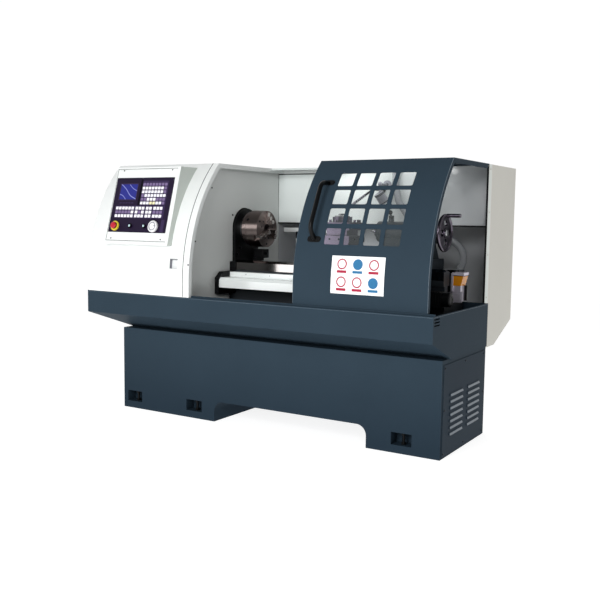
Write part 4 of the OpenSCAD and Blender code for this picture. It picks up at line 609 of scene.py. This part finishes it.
class LATHE_OT_door_trim(bpy.types.Operator):
    """White plate, handle feet, painted highlights along the edges and pane screws of the sliding door"""
    bl_idname = "lathe.door_trim"
    bl_label = "Door trim"

    def execute(self, context):
        size = context.scene.lathe_sizes
        mid = (0.751, 0.0925)
        plate_t, rivet_inset = 0.0014, 0.008
        ink_low, ink_high, mark_r, hole_r = 0.0012, 0.0018, 0.029, 0.022
        bm = bmesh.new()
        arcs = spread(mid[1] - size.plate_h / 2, mid[1] + size.plate_h / 2, 9)
        hood_band_into(bm, DOOR_OFF, mid[0] - size.plate_w / 2, mid[0] + size.plate_w / 2, arcs, 0.0, plate_t)
        piece("door_plate", bm, "plate", "door", edge=0.0005)
        marks = {"ink_red": ("red_plastic", ((-1, 1), (1, 1), (-1, -1), (0, -1))),
                 "ink_blue": ("panel_film", ((0, 1), (1, -1)))}
        for look, (slot, places) in marks.items():
            for i, j in places:
                x = mid[0] + i * size.plate_w * 0.3
                s = mid[1] + j * size.plate_h * 0.235 + 0.010
                if look == "ink_red":
                    ring = ((mark_r, ink_low), (mark_r, ink_high), (hole_r, ink_high), (hole_r, ink_low))
                    rows = [[(u, *hood_point(DOOR_OFF, v, h)) for u, v in ring_points(r, 32, (x, s))]
                            for r, h in ring]
                    loft_into(bm, rows + rows[:1], capped=False)
                else:
                    hood_plate_into(bm, DOOR_OFF, ring_points(mark_r, 32, (x, s)), ink_low, ink_high)
                bar = rounded(2 * mark_r, 0.014, 0.002, (x, s - 0.041))
                hood_plate_into(bm, DOOR_OFF, bar, ink_low, ink_high)
            bmesh.ops.remove_doubles(bm, verts=bm.verts, dist=1e-6)
            piece("door_plate_" + look, bm, look, "door")
        for i in (-1, 0, 1):
            for j in (-1, 1):
                x = mid[0] + i * (size.plate_w / 2 - rivet_inset)
                arc = mid[1] + j * (size.plate_h / 2 - rivet_inset)
                screw_into(bm, hood_frame(DOOR_OFF, x, arc, plate_t), 0.0028, 0.0014)
        piece("door_rivets", bm, "zinc", "door")
        handle_x, foot_arcs = 0.463, (0.281, 0.628)
        for arc in foot_arcs:
            for x in (handle_x - 0.031, handle_x + 0.031):
                screw_into(bm, hood_frame(DOOR_OFF, x, arc, 0.0026), 0.0045, 0.0026)
        piece("handle_screws", bm, "bolt", "door")
        for arc in foot_arcs:
            flange = rounded(0.084, 0.034, 0.0165, (handle_x, arc), 6)
            hood_plate_into(bm, DOOR_OFF, flange, -0.0005, 0.0028)
        piece("handle_feet", bm, "black", "door", edge=0.0008)
        # Lighter strips down both door edges: painted highlight
        arcs = spread(-0.080, 0, 3) + spread(0.02, ROOF_ARC, 40) + [1.36]
        for x0, x1 in ((0.3517, 0.3533), (1.1567, 1.1583)):
            hood_band_into(bm, DOOR_OFF, x0, x1, arcs, -0.002, 0.0004)
        piece("door_edge_highlights", bm, "slate_highlight", "door")
        places = [(x, arc) for x in spread(0.518, 0.988, 5) for arc in (0.243, 0.708)]
        places += [(x, arc) for arc in spread(0.359, 0.592, 3) for x in (0.517, 0.989)]
        for x, arc in places:
            inward = hood_frame(DOOR_OFF, x, arc, -PANE_IN) @ Matrix.Rotation(math.pi, 4, "X")
            screw_into(bm, inward, 0.004, 0.0025)
        piece("pane_screws", bm, "zinc", "door")
        return {"FINISHED"}


class LATHE_OT_cover_trim(bpy.types.Operator):
    """Joints, screws and end-door louvres of the headstock cover and control box; painted shade in the finger
    pull
    """
    bl_idname = "lathe.cover_trim"
    bl_label = "Cover trim"

    def execute(self, context):
        r = context.scene.lathe_sizes.screw_r
        bm = bmesh.new()
        sunk, proud = -0.0005, 0.0003
        arcs = spread(TRAY_TOP - BEND_Z + 0.002, 0, 4) + spread(0.02, ROOF_ARC, 40) + [ROOF_ARC + 0.72]
        hood_band_into(bm, COVER_OFF, -0.413, -0.4085, arcs, sunk, proud)
        for x0, y0, x1, y1 in ((6, 23, 497, 26), (6, 488, 497, 491), (6, 26, 9, 488)):
            box_into(bm, (x0 / 1000, y0 / 1000, sunk), (x1 / 1000, y1 / 1000, proud), panel_frame())
        # Dark strips at the finger pull's left and top edges: painted shade in the recess
        hood_band_into(bm, COVER_OFF, -0.5135, -0.511, spread(0.075, 0.1355, 5), sunk, proud)
        hood_band_into(bm, COVER_OFF, -0.5135, -0.454, [0.133, 0.1355], sunk, proud)
        piece("cover_joints_and_pull_shade", bm, "seam", "machine")
        # Grey liners on the finger pull's walls: painted shade in the recess
        pull = hood_frame(COVER_OFF, -0.483, 0.104)
        far, near, deep, rim = 0.0288, 0.0275, -0.0198, -0.0015
        for x0, y0, x1, y1 in ((-far, -far, far, -near), (-far, near, far, far),
                               (-far, -near, -near, near), (near, -near, far, near)):
            box_into(bm, (x0, y0, deep), (x1, y1, rim), pull)
        piece("pull_shade_liner", bm, "grey_abs", "machine")
        for x, y in ((58, 480), (455, 480), (48, 38), (455, 38)):
            screw_into(bm, panel_frame(x, y), r * 0.9, 0.0025)
        screw_into(bm, hood_frame(COVER_OFF, -0.3715, 0.103), r, 0.003)
        screw_into(bm, at(WALL_X, 503, 1283, ALONG_X), r * 1.2, 0.004)
        for depth, z in ((120, 1120), (285, 1450)):
            screw_into(bm, at(WALL_X, depth, z, ALONG_X), r, 0.003)
        piece("cover_screws", bm, "bolt", "machine")
        blocks_into(bm, (-411.8, 64, 700, -409.2, 470, 788), (-411.8, 64, 700, -399, 470, 702.6))
        piece("wall_skirt", bm, "wall", "machine")
        louvre_x, latch_x = -1196.2, -1201.2
        turn = Matrix((-ALONG_Y, ALONG_Z, -ALONG_X)).transposed().to_4x4()
        for d in (570, 840):
            for z in spread(1010, 1160, 6):
                louvre_into(bm, Matrix.Translation(spot(louvre_x, d, z)) @ turn, 0.190, 0.018, 0.006)
        piece("end_door_louvres", bm, "white", "end_door")
        latch = Matrix.Translation(spot(latch_x, 450, 1175)) @ turn
        washer_into(bm, 0.009, 0.0125, 0.0, 0.0022, latch, 28)
        box_into(bm, (-0.0016, -0.0085, 0.0), (0.0016, 0.0085, 0.0026), latch)
        piece("end_door_latch", bm, "zinc", "end_door", edge=0.0004)
        return {"FINISHED"}


class LATHE_OT_control_keys(bpy.types.Operator):
    """Key caps, printed fields and bezels of the control panel"""
    bl_idname = "lathe.control_keys"
    bl_label = "Control keys"

    def execute(self, context):
        film, base = 0.0028, 0.0042
        top = base + context.scene.lathe_sizes.key_rise
        face = panel_frame()
        caps = {"key_white": bmesh.new(), "key_lilac": bmesh.new(), "key_cream": bmesh.new()}
        upper = ("wwwccww-", "--www---", "-wwwwwww", "wwwwwww-", "wwwwwww-", "--------")
        lower = {50: ("wwwwww", "-----w", "wwwwww"), 214: ("www", "w-w", "www"), 300: ("ww", "ww", "ww"),
                 360: ("www", "---", "www")}
        grids = [(244, 258, 25, 24, 19, 17, upper)]
        grids += [(x, 174, 26, 25, 20, 18, rows) for x, rows in lower.items()]
        for x0, y0, dx, dy, w, h, rows in grids:
            for j, row in enumerate(rows):
                for i, kind in enumerate(row):
                    look = {"w": "key_white", "c": "key_cream", "-": "key_lilac"}[kind]
                    mid = ((x0 + i * dx + w / 2) / 1000, (y0 + j * dy + h / 2) / 1000)
                    cap = rounded(w / 1000 + 0.0004, h / 1000 + 0.0004, 0.002, mid)
                    plate_into(caps[look], cap, base, top, face)
        for look, keys in caps.items():
            piece("panel_" + look, keys, look, "machine")
        bm = bmesh.new()
        for x, y, w, h in ((343, 331, 208, 158), (246, 211, 402, 86), (452, 122, 26, 78)):
            field = rounded(w / 1000, h / 1000, 0.004, (x / 1000, y / 1000))
            plate_into(bm, field, film, 0.0034, face)
        piece("panel_fields", bm, "film_lilac", "machine")
        box_into(bm, (0.2275, 0.251, film), (0.2355, 0.419, base), face)
        for y in (250.5, 166.0):
            box_into(bm, (0.040, y / 1000, film), (0.448, (y + 1.6) / 1000, 0.0036), face)
        for x, y in ((19, 82), (481, 82), (19, 427), (481, 427)):
            screw_into(bm, panel_frame(x, y, 3), 0.0032, 0.0018)
        piece("panel_joints", bm, "black", "machine")
        mid = (0.1315, 0.338)
        outer, inner = rounded(0.149, 0.110, 0.003, mid), rounded(0.139, 0.100, 0.002, mid)
        rows = [[face @ Vector((x, y, z)) for x, y in line] for line, z in (
            (outer, 0.0068), (outer, 0.0078), (inner, 0.0074), (inner, 0.0062))]
        loft_into(bm, rows + rows[:1], capped=False)
        bmesh.ops.remove_doubles(bm, verts=bm.verts, dist=1e-6)
        for k in range(5):
            plate_into(bm, rounded(0.018, 0.007, 0.0015, (0.083 + k * 0.0245, 0.266)), 0.0068, 0.0078, face)
        piece("screen_frame", bm, "film_lilac", "machine")
        stop, dial = panel_frame(70, 117), panel_frame(385, 117)
        washer_into(bm, 0.0215, 0.0302, 0.0105, 0.0125, stop, 48)
        washer_into(bm, 0.0295, 0.0312, 0.003, 0.0112, stop, 48)
        piece("estop_collar", bm, "yellow", "machine")
        buttons = {"start_key": 196, "hold_key": 311}
        for x in buttons.values():
            washer_into(bm, 0.0118, 0.0155, 0.0062, 0.0078, panel_frame(x, BUTTON_Y), 32)
        piece("button_rings", bm, "bolt", "machine")
        for body, x in buttons.items():
            plate_into(bm, rounded(0.013, 0.013, 0.003), 0.0, 0.0008, panel_frame(x, BUTTON_Y, LENS_RISE))
            piece(body + "_lens", bm, "cyan", body)
        washer_into(bm, 0.0215, 0.0262, 0.0172, 0.0184, dial, 48)
        for k in range(40):
            mark = dial @ Matrix.Rotation(2 * math.pi * k / 40, 4, "Z")
            box_into(bm, (0.0275, -0.0004, 0.0178), (0.0325 if k % 5 else 0.0327, 0.0004, 0.0183), mark)
        piece("dial_marks", bm, "grey_abs", "jog_dial")
        return {"FINISHED"}


class LATHE_OT_chuck_trim(bpy.types.Operator):
    """Screws of the chuck, and the block and bolts at the headstock's foot"""
    bl_idname = "lathe.chuck_trim"
    bl_label = "Chuck trim"

    def execute(self, context):
        bm = bmesh.new()
        for k in range(3):
            for swing, reach, r in ((60, 96, 0.0075), (42, 62, 0.005), (78, 62, 0.005)):
                place = round_spindle(CHUCK_FACE_X, reach, 120 * k + swing + CHUCK_TURN)
                screw_into(bm, axis_frame(place, ALONG_X), r, 0.003)
        for k in range(6):
            hex_into(bm, axis_frame(round_spindle(CHUCK_BACK_X, 96, 60 * k), -ALONG_X), 0.007, 0.007)
        piece("chuck_screws", bm, "bolt", "spindle")
        blocks_into(bm, (-390.5, 716, 1000, -312, 786, 1058), (-390.5, 706, 981, -358, 796, 1002),
                    (-408, 472, 926, -362, 479.7, 986))
        piece("headstock_toe", bm, "black_iron", "machine", edge=0.003)
        for d, z in ((530, 1030), (560, 1070), (750, 1080)):
            hex_into(bm, at(NOSE_X, d, z, ALONG_X), 0.009, 0.008)
        hex_into(bm, at(-312, 751, 1029, ALONG_X), 0.010, 0.009)
        heads_into(bm, hex_into, (NOSE_X, 898), (310,), (802, 868), -ALONG_Y, 0.006, 0.006)
        piece("casting_bolts", bm, "bolt", "machine")
        heads_into(bm, screw_into, spread(-250, 830, 7), (432,), (908,), -ALONG_Y, 0.0042, 0.0024)
        piece("guard_screws", bm, "zinc", "machine")
        return {"FINISHED"}


class LATHE_OT_slide_trim(bpy.types.Operator):
    """Wipers, caps and oil cups of the carriage, turret and tailstock"""
    bl_idname = "lathe.slide_trim"
    bl_label = "Slide trim"

    def execute(self, context):
        bm = bmesh.new()
        for x, out in ((270, -6), (570, 6)):
            for d0, d1 in ((484, 561), (719, 796)):
                box_into(bm, spot(min(x, x + out), d0, 995), spot(max(x, x + out), d1, 1022))
        piece("way_wipers", bm, "rubber", "carriage", edge=0.001)
        for x, axis in ((264, -ALONG_X), (576, ALONG_X)):
            heads_into(bm, screw_into, (x,), (497, 548, 732, 783), (1012,), axis, 0.004, 0.002)
        heads_into(bm, screw_into, (330, 510), (254,), (850, 950), -ALONG_Y, 0.007, 0.004)
        piece("carriage_screws", bm, "bolt", "carriage")
        head = at(TURRET_X, TURRET_DEPTH, 1280.7, ALONG_Z)
        turn_into(bm, [(0, 0), (0.046, 0), (0.046, 0.004), (0.041, 0.007), (0.026, 0.008), (0.026, 0.014),
                       (0.022, 0.018), (0, 0.019)], head, 40)
        piece("turret_cap", bm, "spindle", "turret")
        for q in range(4):
            for s in (-31, 31):
                quarter = Matrix.Rotation(math.pi / 2 * q, 4, "Z")
                side = spot(TURRET_X, TURRET_DEPTH, 1130.7) + quarter @ Vector((s / 1000, 0.0982, 0.020))
                screw_into(bm, axis_frame(side, quarter @ ALONG_Y), 0.006, 0.003)
        piece("turret_screws", bm, "bolt", "turret")
        for x in (760, 860):
            turn_into(bm, [(0.009, -0.004), (0.009, 0.004), (0.006, 0.006), (0.006, 0.010), (0.0075, 0.012),
                           (0, 0.015)], at(x, SPINDLE_DEPTH, 1257, ALONG_Z), 20)
        heads_into(bm, hex_into, (640, 890), (480,), (1000,), -ALONG_Y, 0.009, 0.008)
        piece("tailstock_cups", bm, "zinc", "tailstock")
        hub = at(962, SPINDLE_DEPTH, SPINDLE_Z, ALONG_X)
        turn_into(bm, [(0.0279, 0), (0.036, 0), (0.036, 0.012), (0.030, 0.016), (0.0279, 0.016)], hub, 48)
        turn_into(bm, [(0.0, 0.040), (0.018, 0.040), (0.018, 0.044), (0.012, 0.047), (0, 0.047)], hub, 32)
        piece("wheel_collar", bm, "spindle", "tail_wheel")
        for k in range(48):
            mark = hub @ Matrix.Rotation(2 * math.pi * k / 48, 4, "Z")
            box_into(bm, (0.0356, -0.0004, 0.001), (0.0363, 0.0004, 0.0085 if k % 4 == 0 else 0.005), mark)
        piece("wheel_scale", bm, "black", "tail_wheel")
        return {"FINISHED"}


class LATHE_OT_right_end(bpy.types.Operator):
    """Motor ribs, pump fittings and the corrugated conduit at the right end"""
    bl_idname = "lathe.right_end"
    bl_label = "Right end"

    def execute(self, context):
        motor_depth, motor_z = 430, 832
        bm = bmesh.new()
        for x in spread(938, 1066, 9):
            shaft = at(x, motor_depth, motor_z, ALONG_X)
            for side in range(4):
                rib = shaft @ Matrix.Rotation(math.pi / 2 * side, 4, "Z")
                box_into(bm, (0.0415, -0.032, -0.003), (0.0445, 0.032, 0.003), rib)
        turn_into(bm, [(0.040, -0.006), (0.040, 0.002), (0.034, 0.006), (0.020, 0.007), (0.019, 0.005),
                       (0, 0.005)], at(1120, motor_depth, motor_z, ALONG_X), 36)
        piece("motor_ribs", bm, "black_iron", "machine", edge=0.0008)
        turn_into(bm, [(0, -0.001), (0.015, -0.001), (0.015, 0.010), (0.012, 0.014), (0, 0.014)],
                  at(1121, 668, 958, ALONG_Y), 24)
        blocks_into(bm, (1112, 658, 812, 1131, 664, 900))
        heads_into(bm, screw_into, (1066,), (684,), (822, 886, 950), ALONG_X, 0.006, 0.004)
        for depth in (597, 659):
            heads_into(bm, screw_into, (1076, 1127), (depth,), (975,), ALONG_Z, 0.004, 0.0025)
        blocks_into(bm, (1066.5, 589, 955, 1134.5, 667.5, 959.3))
        piece("pump_fittings", bm, "black", "machine")
        blocks_into(bm, (1064, 585, 806, 1074, 599, 958), (1064, 585, 806, 1130, 588, 868),
                    (1080, 583.4, 816, 1122, 586, 858))
        piece("pump_face", bm, "lilac", "machine", edge=0.0015)
        route = [(700, 1597), (700, 1480), (676, 1379), (605, 1285), (480, 1205), (370, 1163), (300, 1136),
                 (252, 1103), (230, 1055), (232, 1003), (262, 948), (312, 870), (343, 780), (350, 680),
                 (350, 507)]
        path = smooth_path([spot(1200 - x, 1023, z) for x, z in route], 0.024)
        points = []
        for a, b in zip(path, path[1:]):
            count = max(1, round((b - a).length / 0.005))
            points += [a.lerp(b, k / count) for k in range(count)]
        points.append(path[-1])
        tube_into(bm, points, 0.023, 18, [0.99 if k % 2 else 0.92 for k in range(len(points))])
        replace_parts(piece("conduit_hose", bm, "hose", "machine"), "conduit")
        return {"FINISHED"}


class LATHE_OT_stand_trim(bpy.types.Operator):
    """Screws of the stand and its end cover, and a painted highlight along the tray's fold"""
    bl_idname = "lathe.stand_trim"
    bl_label = "Stand trim"

    def execute(self, context):
        r = context.scene.lathe_sizes.screw_r
        bm = bmesh.new()
        cover_x, middle = 1185, (527, 262)
        for d in (224, 527, 831):
            for z in (26, 262, 490):
                if (d, z) != middle:
                    screw_into(bm, at(cover_x, d, z, ALONG_X), r, 0.003)
        piece("end_cover_screws", bm, "bolt", "machine")
        heads_into(bm, screw_into, spread(-1000, 1120, 9), (868,), (520,), ALONG_Y, r, 0.003)
        heads_into(bm, screw_into, (-1064,), (240, 815), (60, 470), -ALONG_X, r, 0.003)
        piece("stand_screws", bm, "bolt", "machine")
        # A lighter strip along the tray's top fold, on its front and right end: painted highlight
        blocks_into(bm, (-1200.3, -0.3, 780.5, 1200.3, 0.2, 781.7),
                    (1199.8, -0.3, 780.5, 1200.3, 830, 781.7))
        piece("tray_fold_highlight", bm, "slate_highlight", "machine")
        return {"FINISHED"}


class LATHE_OT_rear_trim(bpy.types.Operator):
    """Louvres, latches, fan guard and joints at the back, the rail behind the chuck, and painted shadow lines
    and strips
    """
    bl_idname = "lathe.rear_trim"
    bl_label = "Rear trim"

    def execute(self, context):
        r = context.scene.lathe_sizes.screw_r
        turn = Matrix((-ALONG_X, ALONG_Z, ALONG_Y)).transposed().to_4x4()
        bm = bmesh.new()
        for x in (-960, -630):
            for z in spread(750, 910, 6):
                louvre_into(bm, Matrix.Translation(spot(x, BACK_DEPTH, z)) @ turn, 0.210, 0.018, 0.006)
        piece("cabinet_louvres", bm, "cream", "cabinet_door")
        fan = Matrix.Translation(spot(-800, BACK_DEPTH, 1360)) @ turn
        for k in range(6):
            washer_into(bm, 0.008 + 0.012 * k, 0.0105 + 0.012 * k, 0.0015, 0.004, fan, 40)
        for k in range(4):
            spoke = fan @ Matrix.Rotation(math.pi / 2 * k + math.pi / 4, 4, "Z")
            box_into(bm, (0.008, -0.0022, 0.0), (0.092, 0.0022, 0.0022), spoke)
            screw_into(bm, spoke @ Matrix.Translation((0.088, 0, 0.002)), 0.005, 0.003)
        piece("fan_guard", bm, "bolt", "cabinet_door")
        for z in (760, 1440):
            latch = Matrix.Translation(spot(-478, BACK_DEPTH, z)) @ turn
            washer_into(bm, 0.009, 0.0135, 0.0, 0.003, latch, 28)
            box_into(bm, (-0.0016, -0.0088, 0.0), (0.0016, 0.0088, 0.0034), latch)
        piece("cabinet_latches", bm, "zinc", "cabinet_door", edge=0.0004)
        for x in (115, 640):
            blocks_into(bm, (x - 0.8, BACK_DEPTH - 0.2, 634, x + 0.8, BACK_DEPTH + 0.4, 1599))
        # The dark line under the ledge and the one in the corner by the wall are painted shadow; the others
        # are joints
        blocks_into(bm, (-408, 1060, 1599.8, 1151, 1061.2, 1600.4),
                    (-408.5, 1044, 1565, 365, SPLASH_DEPTH, 1571.5),
                    (-408.7, 1047, 1236, -407.2, SPLASH_DEPTH, 1571))
        piece("guard_joints_and_shadow_lines", bm, "seam", "machine")
        heads_into(bm, screw_into, spread(-380, 1125, 8), (BACK_DEPTH,), (660, 1575), ALONG_Y, r, 0.003)
        heads_into(bm, screw_into, (1155,), (926,), spread(560, 1570, 5), ALONG_X, r, 0.003)
        piece("guard_rivets", bm, "cream", "machine")
        blocks_into(bm, (-357, 1041, 1170, 60, SPLASH_DEPTH, 1172.5), (-357, 1041, 1170, 60, 1043, 1200),
                    (-357, 1043, 1198, 60, SPLASH_DEPTH, 1200))
        for x in (-150, 48):
            blocks_into(bm, (x - 9, 1046.5, 1196, x + 9, SPLASH_DEPTH, 1236.5))
        tube_into(bm, [spot(-251, 1045, z) for z in (1132, 1060, 800, 640, 507)], 0.007, 14)
        blocks_into(bm, (-408.3, 1043, 1571.5, 365, 1046, 1599))
        piece("drip_rail", bm, "white", "machine", edge=0.0008)
        # A black strip along the splash panel's foot: painted shadow
        blocks_into(bm, (-408, 1044, 1227, 1148, SPLASH_DEPTH, 1236.5))
        tube_into(bm, [spot(-251, 1045, z) for z in (1174, 1160, 1128)], 0.010, 14)
        # A black strip inside the guard's front edge: painted shadow
        blocks_into(bm, (1144, 896.2, 506, 1155.3, 899, 1598))
        piece("guard_shadow_strips_and_coupling", bm, "rubber", "machine")
        return {"FINISHED"}


class LATHE_OT_lamp_trim(bpy.types.Operator):
    """Lens and joints of the work lamp and the coolant pipe's nozzle"""
    bl_idname = "lathe.lamp_trim"
    bl_label = "Lamp trim"

    def execute(self, context):
        head = (Matrix.Translation(spot(430, 939, 1420)) @ Matrix.Rotation(math.radians(-25), 4, "Y")
                @ Matrix.Rotation(math.radians(25), 4, "X"))
        bm = bmesh.new()
        turn_into(bm, [(0, -0.048), (0.014, -0.047), (0.024, -0.042), (0.0279, -0.034), (0.0279, -0.028),
                       (0, -0.028)], head, 32)
        piece("lamp_lens", bm, "lens", "machine")
        for z in (-0.052, 0.002, 0.009):
            washer_into(bm, 0.0318, 0.0335, z, z + 0.004, head, 36)
        for y in (1034, 956):
            washer_into(bm, 0.0079, 0.0105, -0.003, 0.003, at(430, y, 1490, ALONG_Y), 24)
        piece("lamp_rings", bm, "bolt", "machine")
        end = spot(260, 899, 1363)
        tip = axis_frame(end, (end - spot(400, 899, 1455)).normalized())
        turn_into(bm, [(0.0071, -0.030), (0.0095, -0.030), (0.0095, -0.014), (0.0085, -0.010), (0.006, 0.012),
                       (0.004, 0.012), (0.004, -0.004), (0, -0.004)], tip, 24)
        for k in range(5):
            washer_into(bm, 0.0069, 0.0088, -0.045 - 0.014 * k, -0.037 - 0.014 * k, tip, 24)
        piece("coolant_nozzle", bm, "grey_abs", "machine")
        return {"FINISHED"}


class LATHE_OT_stage(bpy.types.Operator):
    """Pale floor, soft lights and the camera"""
    bl_idname = "lathe.stage"
    bl_label = "Stage"

    def execute(self, context):
        scene = context.scene
        scene.view_settings.view_transform = "Standard"
        bm = bmesh.new()
        bmesh.ops.create_grid(bm, x_segments=1, y_segments=1, size=9)
        mesh = bpy.data.meshes.new("floor")
        bm.to_mesh(mesh)
        bm.free()
        floor = bpy.data.objects.new("floor", mesh)
        scene.collection.objects.link(floor)
        mat, tree, _ = new_material("pale studio floor")
        paint = put(tree, "ShaderNodeBsdfPrincipled", {
            "Base Color": (0.4, 0.4, 0.4, 1), "Roughness": 1.0, "Specular IOR Level": 0.0,
            "Emission Color": (1, 1, 1, 1), "Emission Strength": 0.85})
        put(tree, "ShaderNodeOutputMaterial", {"Surface": paint.outputs["BSDF"]})
        mesh.materials.append(mat)
        world = bpy.data.worlds.new("studio")
        world.use_nodes = True
        sky = world.node_tree
        way = put(sky, "ShaderNodeTexCoord").outputs["Generated"]
        lean = put(sky, "ShaderNodeVectorMath", {0: way, 1: (-0.6, 0.8, 0.0)}, operation="DOT_PRODUCT")
        dim = put(sky, "ShaderNodeMapRange", {
            "Value": lean.outputs["Value"],
            "From Min": -0.35, "From Max": 0.6, "To Min": 0.15, "To Max": 1.02})
        rise = put(sky, "ShaderNodeSeparateXYZ", {"Vector": way})
        low = put(sky, "ShaderNodeMapRange", {
            "Value": rise.outputs["Z"], "From Min": 0.35, "From Max": 0.9, "To Min": 1.0, "To Max": 0.65})
        both = put(sky, "ShaderNodeMath", {
            0: dim.outputs["Result"], 1: low.outputs["Result"]}, operation="MULTIPLY")
        sky.links.new(both.outputs["Value"], sky.nodes["Background"].inputs["Strength"])
        sky.nodes["Background"].inputs["Color"].default_value = (1, 1, 1, 1)
        scene.world = world
        for name, place, aim, size, power in (
                ("key", (0.3, -5.2, 2.3), (-0.1, 0.0, 1.1), (2.0, 2.0), 162.0),
                ("fill", (3.1, -4.5, 3.0), (0.9, 0.2, 1.0), (0.9, 0.9), 40.0),
                ("card", (-2.65, -4.5, 0.62), (0.1, -0.22, 0.95), (1.25, 0.4), 15.0),
                ("work light", (0.45, 0.2, 1.58), (0.45, 0.34, 1.3), (0.8, 0.06), 0.8)):
            light = bpy.data.lights.new(name, "AREA")
            light.shape = "RECTANGLE"
            light.size, light.size_y = size
            light.energy = power
            lamp = bpy.data.objects.new(name, light)
            lamp.location = place
            lamp.rotation_euler = (Vector(aim) - Vector(place)).to_track_quat("-Z", "Y").to_euler()
            scene.collection.objects.link(lamp)
        # The photo's own view, worked out from its straight edges
        eye = (2.778, -4.575, 1.285)
        yaw, pitch, roll = (math.radians(v) for v in (-31.37, -5.81, 0.73))
        ahead = Vector((math.sin(yaw) * math.cos(pitch), math.cos(yaw) * math.cos(pitch), math.sin(pitch)))
        right = Vector((math.cos(yaw), -math.sin(yaw), 0))
        up = right.cross(ahead)
        side = math.cos(roll) * right + math.sin(roll) * up
        head = -math.sin(roll) * right + math.cos(roll) * up
        view = bpy.data.cameras.new("view")
        view.sensor_width = 36.0
        view.lens = 49.83
        view.clip_end = 100.0
        camera = bpy.data.objects.new("view", view)
        turn = Matrix((side, head, -ahead)).transposed().to_4x4()
        camera.matrix_world = Matrix.Translation(eye) @ turn
        scene.collection.objects.link(camera)
        scene.camera = camera
        return {"FINISHED"}


OPERATORS = (LATHE_OT_finishes, LATHE_OT_door_trim, LATHE_OT_cover_trim, LATHE_OT_control_keys,
             LATHE_OT_chuck_trim, LATHE_OT_slide_trim, LATHE_OT_right_end, LATHE_OT_stand_trim,
             LATHE_OT_rear_trim, LATHE_OT_lamp_trim, LATHE_OT_stage)


class LATHE_PT_dressing(bpy.types.Panel):
    """Lists the steps that dress the lathe"""
    bl_label = "Lathe dressing"
    bl_idname = "LATHE_PT_dressing"
    bl_space_type = "VIEW_3D"
    bl_region_type = "UI"
    bl_category = "Lathe"

    def draw(self, context):
        for group in (context.scene.lathe_colours, context.scene.lathe_sizes):
            for key in group.__annotations__:
                self.layout.prop(group, key)
        for step in OPERATORS:
            self.layout.operator(step.bl_idname)


CLASSES = (LatheColours, LatheSizes) + OPERATORS + (LATHE_PT_dressing,)


def register():
    for cls in CLASSES:
        bpy.utils.register_class(cls)
    bpy.types.Scene.lathe_colours = bpy.props.PointerProperty(type=LatheColours)
    bpy.types.Scene.lathe_sizes = bpy.props.PointerProperty(type=LatheSizes)


def unregister():
    del bpy.types.Scene.lathe_sizes
    del bpy.types.Scene.lathe_colours
    for cls in reversed(CLASSES):
        bpy.utils.unregister_class(cls)


def main():
    register()
    for step in OPERATORS:
        group, name = step.bl_idname.split(".")
        getattr(getattr(bpy.ops, group), name)()


if __name__ == "__main__":
    main()
